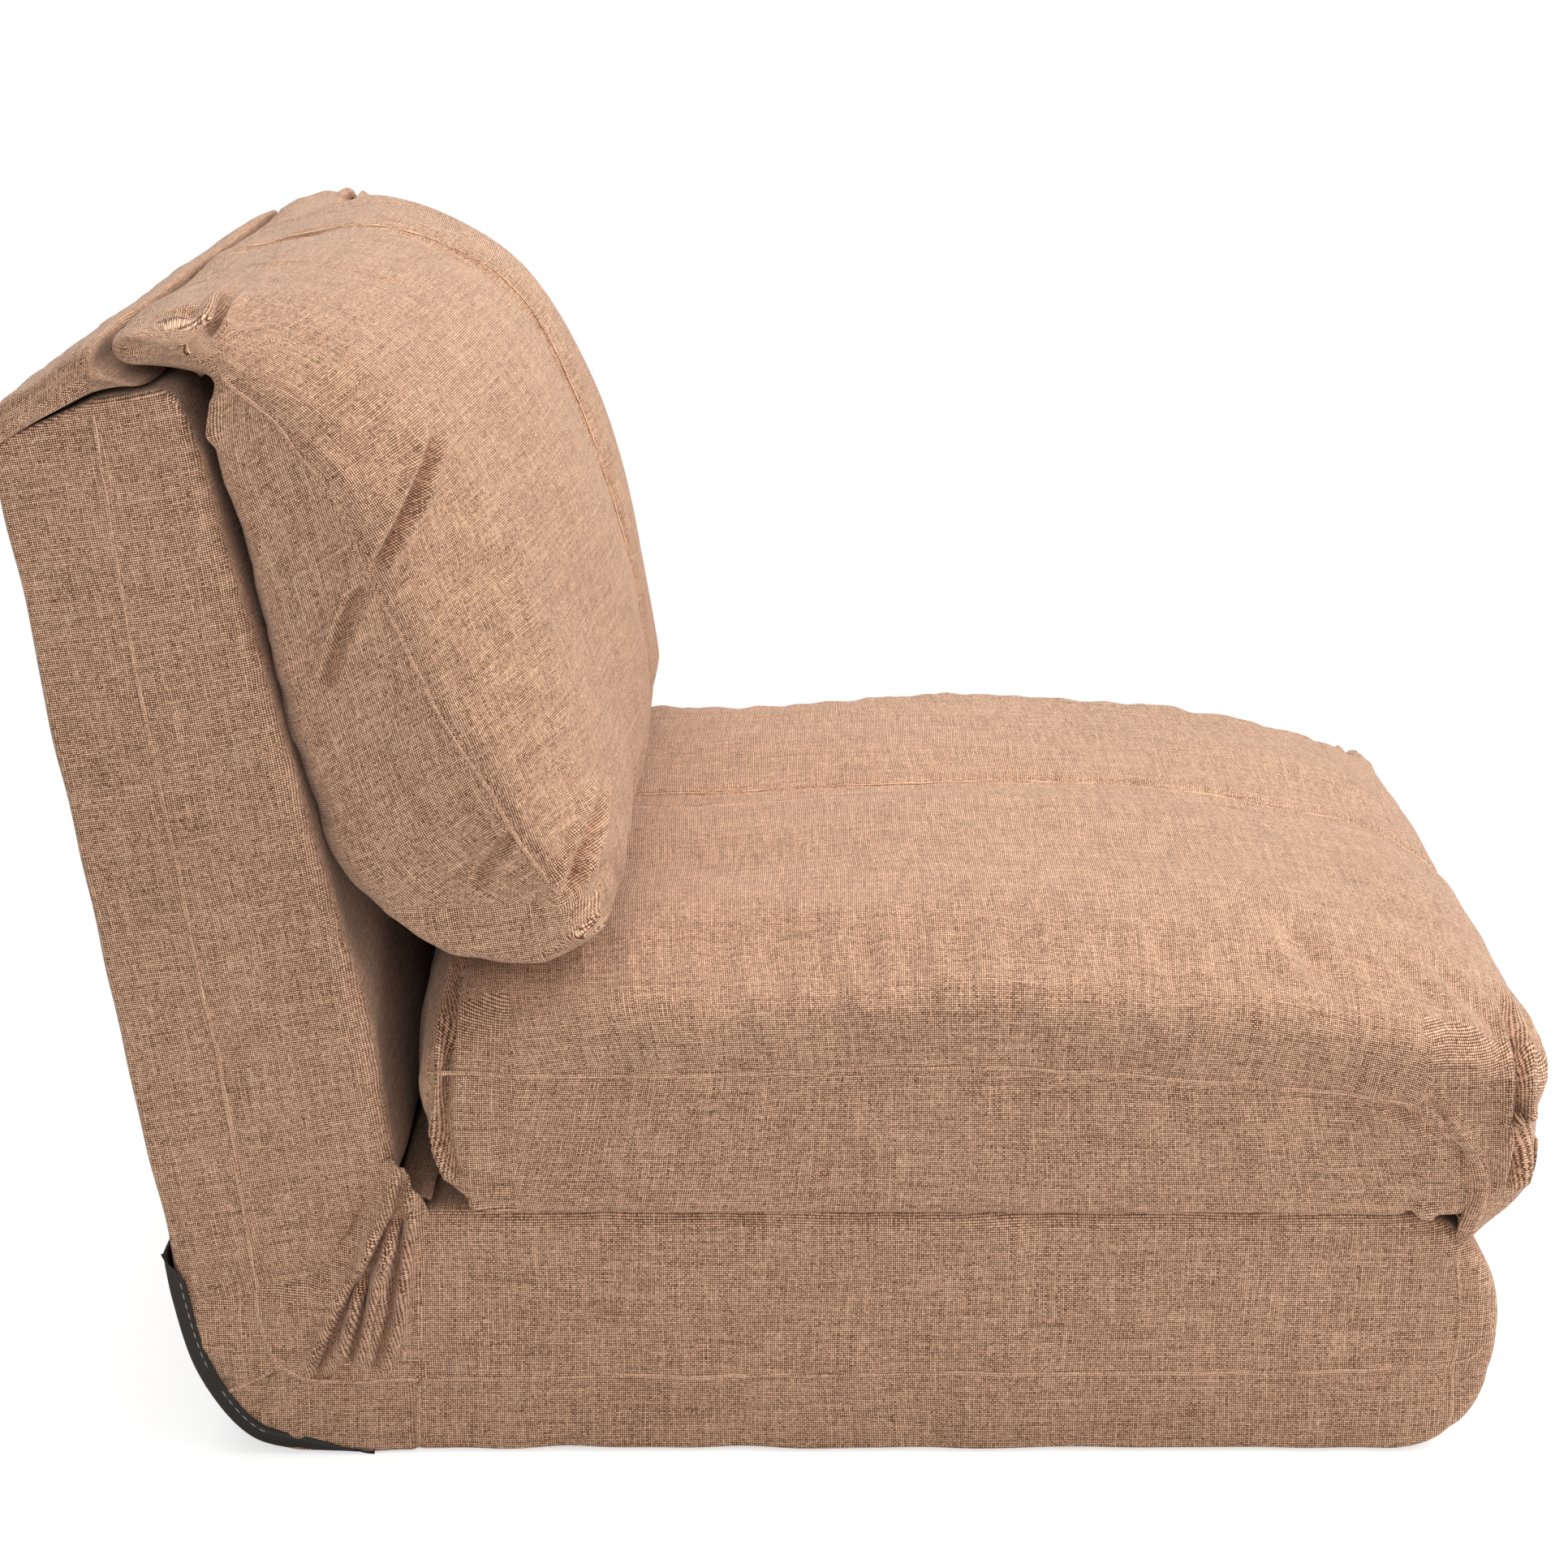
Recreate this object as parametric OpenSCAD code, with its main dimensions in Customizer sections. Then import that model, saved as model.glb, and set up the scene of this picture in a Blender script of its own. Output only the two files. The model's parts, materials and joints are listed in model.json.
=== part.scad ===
// Low armless lounge chair whose back reclines flat: a padded base, a padded back
// hinged to it by a pair of ratchet hinges, and two large loose cushions.
// X is depth with the sitter facing +X, Y is width, Z is up. Units are millimetres.

/* [Overall] */
// half of the chair's width
half_w = 350; // [300:1:400]
// height of the padded base
base_h = 167; // [140:1:190]
// furthest forward point of the base
base_front = 445; // [400:1:480]
// backward lean of the back when it is most upright
lean = 8.6; // [5:0.1:12]
// softness radius of the padded edges
edge_r = 14; // [8:1:20]
// thickness of a cover with its wadding
cover_t = 3; // [2:0.5:5]
// height of the seam round the base's side
base_seam_z = 54; // [45:1:65]

/* [Back slab] */
// height of the back's rear face above the floor when it lies flat
rear_lift = 3; // [2:0.5:6]
// length of the back above the hinge axis
back_len = 596; // [560:1:620]
// front face distance from the axis, low down
back_front_low = 58; // [52:1:64]
// front face distance from the axis, at the top
back_front_top = 25; // [18:1:40]
// depth of the rear strip before the side seam
back_seam = 55; // [45:1:65]

/* [Hinge] */
// hinge axis, from the middle of the chair
hinge_x = -296; // [-310:1:-280]
// hinge axis below the top of the base
hinge_drop = 69; // [64:0.5:74]
// full recline from the upright position
recline_max = 81; // [75:0.5:81]
// notches in each toothed arm
notches = 5; // [3:1:7]
// radius over the tooth tips
sector_r = 36; // [30:0.5:40]
// radius at the root of the notches
notch_r = 28; // [24:0.5:32]
// plate thickness of the fixed arm
plate_t = 3; // [2:0.5:4]
// thickness of the toothed arm and of the pawl
arm_t = 4; // [3:0.5:5]
// thickness of the outer plate
outer_t = 2.5; // [2:0.5:4]
// inner face of the fixed arm, in from the chair's side
plate_inset = 48.8; // [45:0.1:55]
// side clearance between moving plates
side_gap = 0.4; // [0.2:0.1:0.8]
// radius of the pivot rivet
rivet_r = 5; // [4:0.5:7]
// running clearance of a pin in its bore
pin_gap = 0.05; // [0.02:0.01:0.1]
// radius of the pawl pin
pawl_pin_r = 3; // [2:0.5:4]
// pawl pin ahead of the hinge axis
pawl_x = 46; // [42:1:54]
// pawl pin above the hinge axis
pawl_z = 26; // [22:1:30]
// swing of the pawl from released to engaged
pawl_swing = 20; // [16:1:24]

/* [Frame] */
// radius of the frame tube
tube_r = 11; // [9:0.5:14]
// bend radius of the frame corners
bend_r = 55; // [40:1:80]
// front tube of the seat frame, behind the front of the base
front_tube_in = 59; // [50:1:75]
// top tube of the back frame, below the top of the back
top_tube_in = 61; // [50:1:75]
// clearance round the tubes in the foam
tube_gap = 0.8; // [0.5:0.1:2]

/* [Cushions] */
// gap between the base and the cushion that lies on it
seat_rest = 0.4; // [0.2:0.1:1]
// how far the tufted middle of the seat cushion is drawn in
seat_tuft = 0.05; // [0:0.01:0.1]
// how far the tufted middle of the back cushion is drawn in
back_tuft = 0.08; // [0:0.01:0.1]

/* [Sewn pieces] */
// thickness of the side cloth over the hinge
gusset_t = 1.6; // [1:0.2:2.5]
// thickness of the leatherette patch
patch_t = 2; // [1:0.2:2.5]
// thickness of the folded cloth in the crease
fold_t = 4.3; // [2:0.1:5]
// thickness of the strip along the seat cushion's front
strip_t = 2; // [1:0.2:3]
// vertical seam where the base's side band ends, ahead of the hinge axis
band_end = 49; // [42:1:62]

/* [Fits] */
// gap between a piece and what it is sewn or fixed to
seat_gap = 0.2; // [0.1:0.05:0.5]
// gap between neighbouring soft pieces
soft_gap = 0.3; // [0.2:0.1:1]

/* [Hidden] */
$fn = 40;
hinge_z = base_h - hinge_drop;
hinge = [hinge_x, 0, hinge_z];
back_rear = hinge_z - rear_lift;
plate_y = half_w - plate_inset;
band_end_x = hinge_x + band_end;
seat_reach = base_front - front_tube_in - hinge_x;
back_tube_top = back_len - top_tube_in;
pitch = recline_max / (notches - 1);
arm_y = plate_y + plate_t + side_gap;
outer_y = arm_y + arm_t + side_gap;
stack_end = outer_y + outer_t;
seat_tube_y = plate_y - seat_gap - tube_r;
back_tube_y = arm_y - seat_gap - tube_r;
nub = 0.06;

fabric = [0.72, 0.55, 0.43];
foam = [0.93, 0.88, 0.72];
steel = [0.15, 0.15, 0.16];
zinc = [0.72, 0.73, 0.72];
hide = [0.1, 0.08, 0.07];

// Curve helpers.
function spow(a, p) = sign(a) * pow(abs(a), p);
function spline(a, b, c, d, t) = 0.5 * (2 * b + (c - a) * t
    + (2 * a - 5 * b + 4 * c - d) * t * t + (3 * b - a - 3 * c + d) * t * t * t);
function closed_curve(c, m) = let (n = len(c))
    [for (i = [0:n - 1]) for (k = [0:m - 1])
        spline(c[(i + n - 1) % n], c[i], c[(i + 1) % n], c[(i + 2) % n], k / m)];

// One closed solid through a row of rings that all have the same count of points.
module loft(rings) {
    n = len(rings[0]);
    m = len(rings);
    polyhedron(
        points = [for (r = rings) for (p = r) p],
        faces = concat(
            [[for (i = [n - 1:-1:0]) i]],
            [for (j = [0:m - 2]) for (i = [0:n - 1]) let (k = (i + 1) % n)
                [j * n + i, j * n + k, (j + 1) * n + k]],
            [for (j = [0:m - 2]) for (i = [0:n - 1]) let (k = (i + 1) % n)
                [j * n + i, (j + 1) * n + k, (j + 1) * n + i]],
            [[for (i = [0:n - 1]) (m - 1) * n + i]]),
        convexity = 6);
}

// Cushion forms.
stations = [0, 0.045, 0.13, 0.3, 0.52, 0.72, 0.86, 0.94, 0.98, 1];
all_stations = concat([for (k = [len(stations) - 1:-1:1]) -stations[k]], stations);
function fullness(f, m, least) = max(least, pow(max(0, 1 - pow(abs(f), m)), 1 / m));

// Rings of a cushion: an outline drawn in to a seam line towards both sides. The higher
// an outline point's m, the fuller the cushion stays there before it is drawn in.
function pillow(loop, core, hw, m, dip, least = nub) = [for (f = all_stations)
    let (y = f * hw)
    [for (i = [0:len(loop) - 1])
        let (p = loop[i], c = core[i], s = fullness(f, m[i], least),
            w = dip[i] * exp(-pow(y / 26, 2)))
        [c[0] + (p[0] - c[0]) * (s - w), y, c[1] + (p[1] - c[1]) * (s - w)]]];

function ramp(v, a, b) = min(1, max(0, (v - a) / (b - a)));
function mixed(a, b, w) = a + (b - a) * w;

// Side outline of the seat cushion, measured from the hinge axis and the base's top.
seat_ctrl = [[769, 102.4], [757.5, 54.5], [753, 12], [717, 1], [622, 0], [442, 0],
    [252, 0], [112, 1.5], [69, 12], [50, 47.5], [47, 95], [57.5, 131], [79, 150.5],
    [142.5, 158.5], [272, 166], [422, 175.5], [563, 167], [666, 151], [729, 132.5]];
seat_k = (base_front - hinge_x) / 741;
seat_loop = [for (p = closed_curve(seat_ctrl, 2))
    [hinge_x + p[0] * seat_k, base_h + max(seat_rest, p[1])]];
seat_mid = hinge_x + 401 * seat_k;
function seat_seam(x) = base_h + 95 - 34 * pow(max(0, x - seat_mid + 49) / 400, 2);
seat_core = [for (p = seat_loop)
    [seat_mid + 0.93 * (p[0] - seat_mid), seat_seam(p[0])]];
seat_full = [for (p = seat_loop) let (top = ramp(p[1], base_h + 65, base_h + 105),
    ends = 0.8 * (ramp(p[0], base_front - 49, base_front + 1)
        + ramp(-p[0], -hinge_x - 102, -hinge_x - 62)))
    mixed(mixed(14, 3, top), 2.5, ends)];
seat_dip = [for (p = seat_loop) p[1] > base_h + 105 ? seat_tuft : 0];

module seat_cushion() {
    color(fabric)
    loft(pillow(seat_loop, seat_core, half_w, seat_full, seat_dip));
}

// Front face of the back slab, in the back's own frame: Z runs up it from the hinge.
back_k = back_len / 596;
function front_face(z) = back_front_top + (back_front_low - back_front_top)
    * lookup(z / back_k, [[106, 0.97], [150, 1], [205, 0.99], [276, 0.79],
        [372, 0.53], [460, 0.3], [570, 0]]);

// Side outline of the back cushion: distance from the slab's front face, and height.
pad_ctrl = [[-40.6, 611], [-10.6, 601.5], [15.5, 593], [4.5, 542], [6, 451], [0.6, 367],
    [8.2, 276], [51.5, 224.5], [109, 209], [164, 224], [182, 276], [195, 370],
    [193.5, 486], [164.4, 576], [110, 625], [54, 640.5], [4, 631], [-37, 628]];
function off_slab(p) = [front_face(p[1] * back_k) + p[0], p[1] * back_k];
pad_loop = closed_curve([for (p = pad_ctrl) off_slab(p)], 2);
pad_seam_a = off_slab([7, 612]);
pad_seam_b = off_slab([140, 225]);
function on_seam(p) = let (d = pad_seam_b - pad_seam_a,
    u = min(1, max(0, ((p - pad_seam_a) * d) / (d * d))))
    pad_seam_a + u * d + [8.7, 3.7] * 4 * u * (1 - u);
pad_core = [for (p = pad_loop) on_seam(p)];
pad_front = [for (p = pad_loop) ramp((p - on_seam(p)) * [0.93, 0.35], -25, 25)];
pad_full = [for (w = pad_front) mixed(14, 2, w)];
pad_dip = [for (i = [0:len(pad_loop) - 1])
    pad_loop[i][1] > 300 * back_k && pad_loop[i][0] > back_front_top - 30
        ? back_tuft * pad_front[i] : 0];

module back_cushion() {
    color(fabric)
    to_back()
    loft(pillow(pad_loop, pad_core, half_w - 2, pad_full, pad_dip));
}

// Side outline of the wrap, from the rear edge of the slab's top.
wrap_ctrl = [[74.4, 31.2], [58.2, 27.7], [38.3, 16.3], [14.7, 7.2], [12.4, -8.3],
    [4.6, -17], [34, -9.3], [63.5, -1.6], [73.3, 16.1]];
wrap_loop = [for (p = closed_curve(wrap_ctrl, 3)) p + [-back_rear, back_len]];
wrap_core = [for (p = wrap_loop) let (u = (p[0] + back_rear - 4) / 71)
    [9.6 + 60 * u - back_rear, back_len - 10.6 + 21.2 * u]];
wrap_full = [for (p = wrap_loop) 3.1];
wrap_dip = [for (p = wrap_loop) 0];

module back_top_wrap() {
    color(fabric)
    to_back()
    loft(pillow(wrap_loop, wrap_core, half_w - 1.5, wrap_full, wrap_dip, 0.25));
}

// Padded slabs.
mid_z = base_h / 2;
front_c = base_front - 74;
base_rear_x = hinge_x + 24;

// Side outline of the base, drawn in by d, and by e more where it is not the underside.
function base_loop(d, e) = concat(
    [[base_rear_x + 0.3 * (d + e), d + 0.25 * e]],
    [for (a = [-90:15:90])
        [front_c + (base_front - front_c - d - e) * pow(max(0, cos(a)), a > 0 ? 1.1 : 0.8),
            mid_z + (mid_z - d - e * (a > 0 ? 1 : 0.25)) * spow(sin(a), 0.8)]],
    [[hinge_x + 41 + 0.3 * (d + e), base_h - d - e],
        [hinge_x + 16 + 0.3 * (d + e), hinge_z + 22 - 0.3 * (d + e)],
        [hinge_x + 14 + 0.3 * (d + e), hinge_z - 10]]);

// Side outline of the back slab, drawn in by d, and by less towards the rear panel,
// where w is the wall and e the rounding of the side edges.
function back_loop(w, e) = let (d = w + e, r = -back_rear + w + 0.35 * e) concat(
    [[r, 12], [r + 7, -19 + 0.4 * d], [-14, 0.4 * d],
        [9.3, 14.8 + 0.4 * d], [back_front_low - 2.5 - 0.8 * d, 79 + 0.3 * d]],
    [for (z = [106, 150, 205, 276, 372, 460, 570]) [front_face(z * back_k) - d, z * back_k]],
    [[back_front_top - 6 - d, back_len - 4 - d], [-27, back_len - 2.2 - d],
        [-65, back_len - 11.6 - d], [r + 7, back_len - 19 - d],
        [r, back_len - 38 - 0.5 * d]]);

// y station and edge rounding of each ring of a padded slab of half width hw
function slab_rings(hw) = let (q = [for (a = [0, 30, 60, 90])
    [edge_r * (1 - sin(a)), edge_r * (1 - cos(a))]])
    concat([for (k = [3:-1:0]) [-hw + q[k][0], q[k][1]]],
        [for (k = [0:3]) [hw - q[k][0], q[k][1]]]);

module base_solid(t, hw) {
    loft([for (r = slab_rings(hw)) [for (p = base_loop(t, r[1])) [p[0], r[0], p[1]]]]);
}

// Loop points on side k of the plane x = at, with new points where the loop crosses it.
function clip(loop, at, k) = let (n = len(loop)) [for (i = [0:n - 1])
    let (p = loop[i], q = loop[(i + 1) % n], a = k * (p[0] - at), b = k * (q[0] - at))
    each concat(a > 0 ? [p] : [], a * b < 0 ? [p + (q - p) * a / (a - b)] : [])];

// Part of the back slab to side k of the plane x = at.
module back_part(t, hw, at, k) {
    loft([for (r = slab_rings(hw))
        [for (p = clip(back_loop(t, r[1]), at, k)) [p[0], r[0], p[1]]]]);
}

module bevel_prism(poly, hw) {
    rotate([90, 0, 0])
    translate([0, 0, -hw])
    linear_extrude(height = 2 * hw)
    polygon(poly);
}

// Opens the end of a cover that faces the hinge.
module mouth(poly) {
    bevel_prism(poly, half_w + 10);
}

module to_back() {
    translate(hinge)
    rotate([0, -lean, 0])
    children();
}

module block(x0, x1, y0, y1, z0, z1) {
    translate([x0, y0, z0])
    cube([x1 - x0, y1 - y0, z1 - z0]);
}

module base_shell() {
    difference() {
        base_solid(0, half_w);
        base_solid(cover_t, half_w - cover_t);
        mouth([[base_rear_x - 60, cover_t + 1], [base_rear_x + 26, cover_t + 1],
            [hinge_x + 39, hinge_z - 12], [hinge_x + 39, hinge_z + 16],
            [hinge_x + 67, base_h + 20], [hinge_x - 60, base_h + 20]]);
    }
}

module base_cover_lower() {
    color(fabric)
    difference() {
        base_shell();
        block(-400, 500, -400, 400, base_seam_z - soft_gap / 2, 300);
        block(-400, band_end_x, -400, 400, cover_t, 300);
        for (s = [-1, 1])
            translate([0, s * half_w, 0])
            block(-400, band_end_x, -edge_r - cover_t, edge_r + cover_t, -10, 300);
    }
}

module base_cover_upper() {
    color(fabric)
    difference() {
        base_shell();
        block(-400, 500, -400, 400, -20, base_seam_z + soft_gap / 2);
    }
}

// Shell of the back slab to side k of the plane x = at, open there and at the hinge.
module back_shell(at, k) {
    difference() {
        back_part(0, half_w, at, k);
        back_part(cover_t, half_w - cover_t, at, k);
        mouth([[-back_rear - 20, -40], [0, -40], [90, 70], [90, 96], [46, 96], [2, 40],
            [-26, 20], [-back_rear + 18, 0], [-back_rear - 20, 0]]);
    }
}

module back_cover_rear() {
    color(fabric)
    to_back()
    back_shell(-back_rear + back_seam - soft_gap / 2, -1);
}

module back_cover_front() {
    color(fabric)
    to_back()
    back_shell(-back_rear + back_seam + soft_gap / 2, 1);
}

// Frames.
// A tube bent to a U: two legs from z0 up to the bend, and the tube across the top.
module u_tube(r, y, z0, z1) {
    for (s = [-1, 1]) {
        translate([0, s * y, z0])
        cylinder(r = r, h = z1 - bend_r - z0);
        translate([0, s * (y - bend_r), z1 - bend_r])
        rotate([90, 0, 90])
        rotate_extrude(angle = 90 * s, start = s > 0 ? 0 : 180)
        translate([bend_r, 0])
        circle(r = r);
    }
    translate([0, -(y - bend_r), z1])
    rotate([-90, 0, 0])
    cylinder(r = r, h = 2 * (y - bend_r));
}

module cross_tube(r, y, z) {
    translate([0, -y, z])
    rotate([-90, 0, 0])
    cylinder(r = r, h = 2 * y);
}

module seat_tubes(r, e) {
    translate(hinge)
    rotate([0, 90, 0]) {
        u_tube(r, seat_tube_y, 42 - e, seat_reach);
        cross_tube(r - 1, seat_tube_y, 70);
        cross_tube(r - 1, seat_tube_y, 0.56 * seat_reach);
    }
}

module back_tubes(r, e) {
    u_tube(r, back_tube_y, 46 - e, back_tube_top);
    cross_tube(r - 1, back_tube_y, 76);
    cross_tube(r - 1, back_tube_y, 0.58 * back_tube_top);
}

module seat_frame() {
    color(steel)
    seat_tubes(tube_r, 0);
}

module back_frame() {
    color(steel)
    to_back()
    back_tubes(tube_r, 0);
}

// Foam.
foam_d = cover_t + soft_gap;
foam_hw = half_w - cover_t - gusset_t - 2 * soft_gap;

// Room for the two hinges, h to either side of y = 0 before it is moved to its side.
module hinge_room(x0, x1, z0, z1) {
    for (s = [-1, 1])
        translate([0, s * (plate_y + stack_end) / 2, 0])
        block(x0, x1, -10, 10, z0, z1);
}

module base_foam() {
    difference() {
        base_solid(foam_d, foam_hw);
        seat_tubes(tube_r + tube_gap, 6);
        translate(hinge)
        hinge_room(-20, 104, -40, 46);
    }
}

module base_foam_lower() {
    color(foam)
    difference() {
        base_foam();
        block(-400, 500, -400, 400, hinge_z - soft_gap / 2, 300);
    }
}

module base_foam_upper() {
    color(foam)
    difference() {
        base_foam();
        block(-400, 500, -400, 400, -20, hinge_z + soft_gap / 2);
    }
}

module back_foam(k) {
    difference() {
        back_part(foam_d, foam_hw, k * soft_gap / 2, k);
        hinge_room(-17, 17, -40, 158);
        for (s = [-1, 1])
            translate([0, s * (plate_y + stack_end) / 2, 0])
            rotate([90, 0, 0])
            cylinder(r = sector_r + 5, h = 20, center = true);
        back_tubes(tube_r + tube_gap, 8);
    }
}

module back_foam_rear() {
    color(foam)
    to_back()
    back_foam(-1);
}

module back_foam_front() {
    color(foam)
    to_back()
    back_foam(1);
}

// Ratchet hinges.
// Plates lie across Y: from y to y + t on the +Y side, mirrored for the other side.
module disc(x, z, r, y, t) {
    translate([x, y, z])
    rotate([-90, 0, 0])
    cylinder(r = r, h = t);
}

module side(s) {
    translate(hinge)
    mirror([0, s < 0 ? 1 : 0, 0])
    children();
}

// Fixed plate with the holes for the pivot, the pawl pin and the spacer.
module fixed_plate(y, t, reach) {
    difference() {
        union() {
            disc(0, 0, 20, y, t);
            block(0, reach, y, y + t, -15, 34);
            disc(pawl_x, 30, 12, y, t);
        }
        disc(0, 0, rivet_r + pin_gap, y - 1, t + 2);
        disc(pawl_x, pawl_z, pawl_pin_r + pin_gap, y - 1, t + 2);
        disc(76, 22, 4 + pin_gap, y - 1, t + 2);
    }
}

module headed_pin(x, z, r, head_r, head_t) {
    y0 = plate_y - seat_gap;
    y1 = stack_end + seat_gap;
    disc(x, z, head_r, y0 - head_t, head_t);
    disc(x, z, r, y0 - 0.5, y1 - y0 + 1);
    disc(x, z, head_r, y1, head_t);
}

// Spacer: a headed pin with a sleeve that keeps the two fixed plates apart.
module spacer() {
    headed_pin(76, 22, 4, 6.5, 2);
    disc(76, 22, 6.5, plate_y + plate_t + 0.1, outer_y - plate_y - plate_t - 0.2);
}

// Arm of the back with a row of notches, one for each resting position.
module toothed_arm() {
    difference() {
        union() {
            disc(0, 0, sector_r, arm_y, arm_t);
            rotate([0, -lean, 0])
            block(-13, 13, arm_y, arm_y + arm_t, 0, 150);
        }
        disc(0, 0, rivet_r + pin_gap, arm_y - 1, arm_t + 2);
        for (k = [0:notches - 1])
            rotate([0, k * pitch, 0])
            translate([0, arm_y - 1, 0])
            rotate([-90, 0, 0])
            linear_extrude(height = arm_t + 2)
            polygon([[notch_r, -2.8], [notch_r, 2.8], [sector_r + 1, 6.8],
                [sector_r + 1, -2.8]]);
    }
}

// Pawl drawn in its engaged place, then swung clear of the teeth for the rest pose.
module pawl_shape() {
    translate([pawl_x, 0, pawl_z])
    rotate([0, -pawl_swing, 0])
    difference() {
        union() {
            disc(0, 0, 6.5, arm_y, arm_t);
            block(-6, 2, arm_y, arm_y + arm_t, -pawl_z - 2.2, 0);
            block(notch_r + 1.5 - pawl_x, -5, arm_y, arm_y + arm_t,
                -pawl_z - 2.2, -pawl_z + 2.2);
            rotate([0, -45, 0])
            block(-3.5, 3.5, arm_y, arm_y + arm_t, 0, 17);
        }
        disc(0, 0, pawl_pin_r + pin_gap, arm_y - 1, arm_t + 2);
    }
}

module hinge_arm_left() {
    color(zinc)
    side(1)
    fixed_plate(plate_y, plate_t, 100);
}

module hinge_arm_right() {
    color(zinc)
    side(-1)
    fixed_plate(plate_y, plate_t, 100);
}

module hinge_plate_left() {
    color(zinc)
    side(1)
    fixed_plate(outer_y, outer_t, 88);
}

module hinge_plate_right() {
    color(zinc)
    side(-1)
    fixed_plate(outer_y, outer_t, 88);
}

module pivot_rivet_left() {
    color(zinc)
    side(1)
    headed_pin(0, 0, rivet_r, 9, 2.5);
}

module pivot_rivet_right() {
    color(zinc)
    side(-1)
    headed_pin(0, 0, rivet_r, 9, 2.5);
}

module spacer_left() {
    color(zinc)
    side(1)
    spacer();
}

module spacer_right() {
    color(zinc)
    side(-1)
    spacer();
}

module pawl_pin_left() {
    color(zinc)
    side(1)
    headed_pin(pawl_x, pawl_z, pawl_pin_r, 5, 1.6);
}

module pawl_pin_right() {
    color(zinc)
    side(-1)
    headed_pin(pawl_x, pawl_z, pawl_pin_r, 5, 1.6);
}

module pawl_left() {
    color(zinc)
    side(1)
    pawl_shape();
}

module pawl_right() {
    color(zinc)
    side(-1)
    pawl_shape();
}

module toothed_arm_left() {
    color(zinc)
    side(1)
    toothed_arm();
}

module toothed_arm_right() {
    color(zinc)
    side(-1)
    toothed_arm();
}

// Sewn strips over the joint.
// Outline of the rear bottom corner, drawn in by d, from the back round to the floor.
corner_k = back_rear / 95;
corner_ctrl = [for (p = [[-105.3, 42], [-101.8, 10], [-89, -40], [-63, -81], [-33, -95],
    [23, -97.5]]) [hinge_x, hinge_z] + p * corner_k];
function corner_line(d) = [for (i = [0:5]) let (
    a = corner_ctrl[max(0, i - 1)],
    b = corner_ctrl[min(5, i + 1)],
    t = (b - a) / norm(b - a))
    corner_ctrl[i] + d * [-t[1], t[0]]];

module hinge_patch() {
    color(hide)
    bevel_prism(concat(corner_line(0), [for (i = [5:-1:0]) corner_line(patch_t)[i]]),
        half_w - 8);
}

// Cloth that lies in the crease between the base and the back.
module hinge_fold() {
    color(fabric)
    translate(hinge)
    rotate([0, 28.7, 0])
    block(1 - fold_t, 1, -plate_y + 8, plate_y - 8, sector_r + 6, 82);
}

// Side cloth over the hinge: it bridges the open corner below the crease.
gusset_poly = concat([for (i = [2:5]) corner_line(patch_t + soft_gap)[i]],
    [[band_end_x - 1, patch_t + 1.5], [band_end_x - 1, base_seam_z - 1],
        [hinge_x + 46, hinge_z + 8], [hinge_x + 56, hinge_z + 46],
        [hinge_x + 20, hinge_z + 96], [hinge_x - 24, hinge_z + 46],
        [hinge_x - 66, hinge_z + 12], [hinge_x - 74, hinge_z - 14]]);

module gusset(s) {
    y = half_w - cover_t - soft_gap;
    translate([0, s > 0 ? y : gusset_t - y, 0])
    rotate([90, 0, 0])
    linear_extrude(height = gusset_t)
    polygon(gusset_poly);
}

module hinge_gusset_left() {
    color(fabric)
    gusset(1);
}

module hinge_gusset_right() {
    color(fabric)
    gusset(-1);
}

// Cloth that joins the front of the seat cushion to the top front edge of the base.
strip_ctrl = [for (p = [[-21, -22.4], [-8, -12], [7.5, 0], [17.3, 16], [18.4, 39]])
    [base_front, base_h] + p];
function strip_line(d) = [for (i = [0:4]) let (
    a = strip_ctrl[max(0, i - 1)],
    b = strip_ctrl[min(4, i + 1)],
    t = (b - a) / norm(b - a))
    strip_ctrl[i] + d * [-t[1], t[0]]];

module seat_front_strip() {
    color(fabric)
    bevel_prism(concat(strip_line(0), [for (i = [4:-1:0]) strip_line(strip_t)[i]]),
        half_w - 22);
}

base_cover_lower();
base_cover_upper();
base_foam_lower();
base_foam_upper();
seat_frame();
hinge_arm_left();
hinge_arm_right();
hinge_plate_left();
hinge_plate_right();
pivot_rivet_left();
pivot_rivet_right();
spacer_left();
spacer_right();
pawl_pin_left();
pawl_pin_right();
pawl_left();
pawl_right();
seat_cushion();
seat_front_strip();
hinge_patch();
hinge_fold();
hinge_gusset_left();
hinge_gusset_right();
back_cover_rear();
back_cover_front();
back_foam_rear();
back_foam_front();
back_frame();
toothed_arm_left();
toothed_arm_right();
back_top_wrap();
back_cushion();
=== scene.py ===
import bmesh
import bpy
import json
import math
import numpy as np
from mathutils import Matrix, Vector
from mathutils.bvhtree import BVHTree


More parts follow.
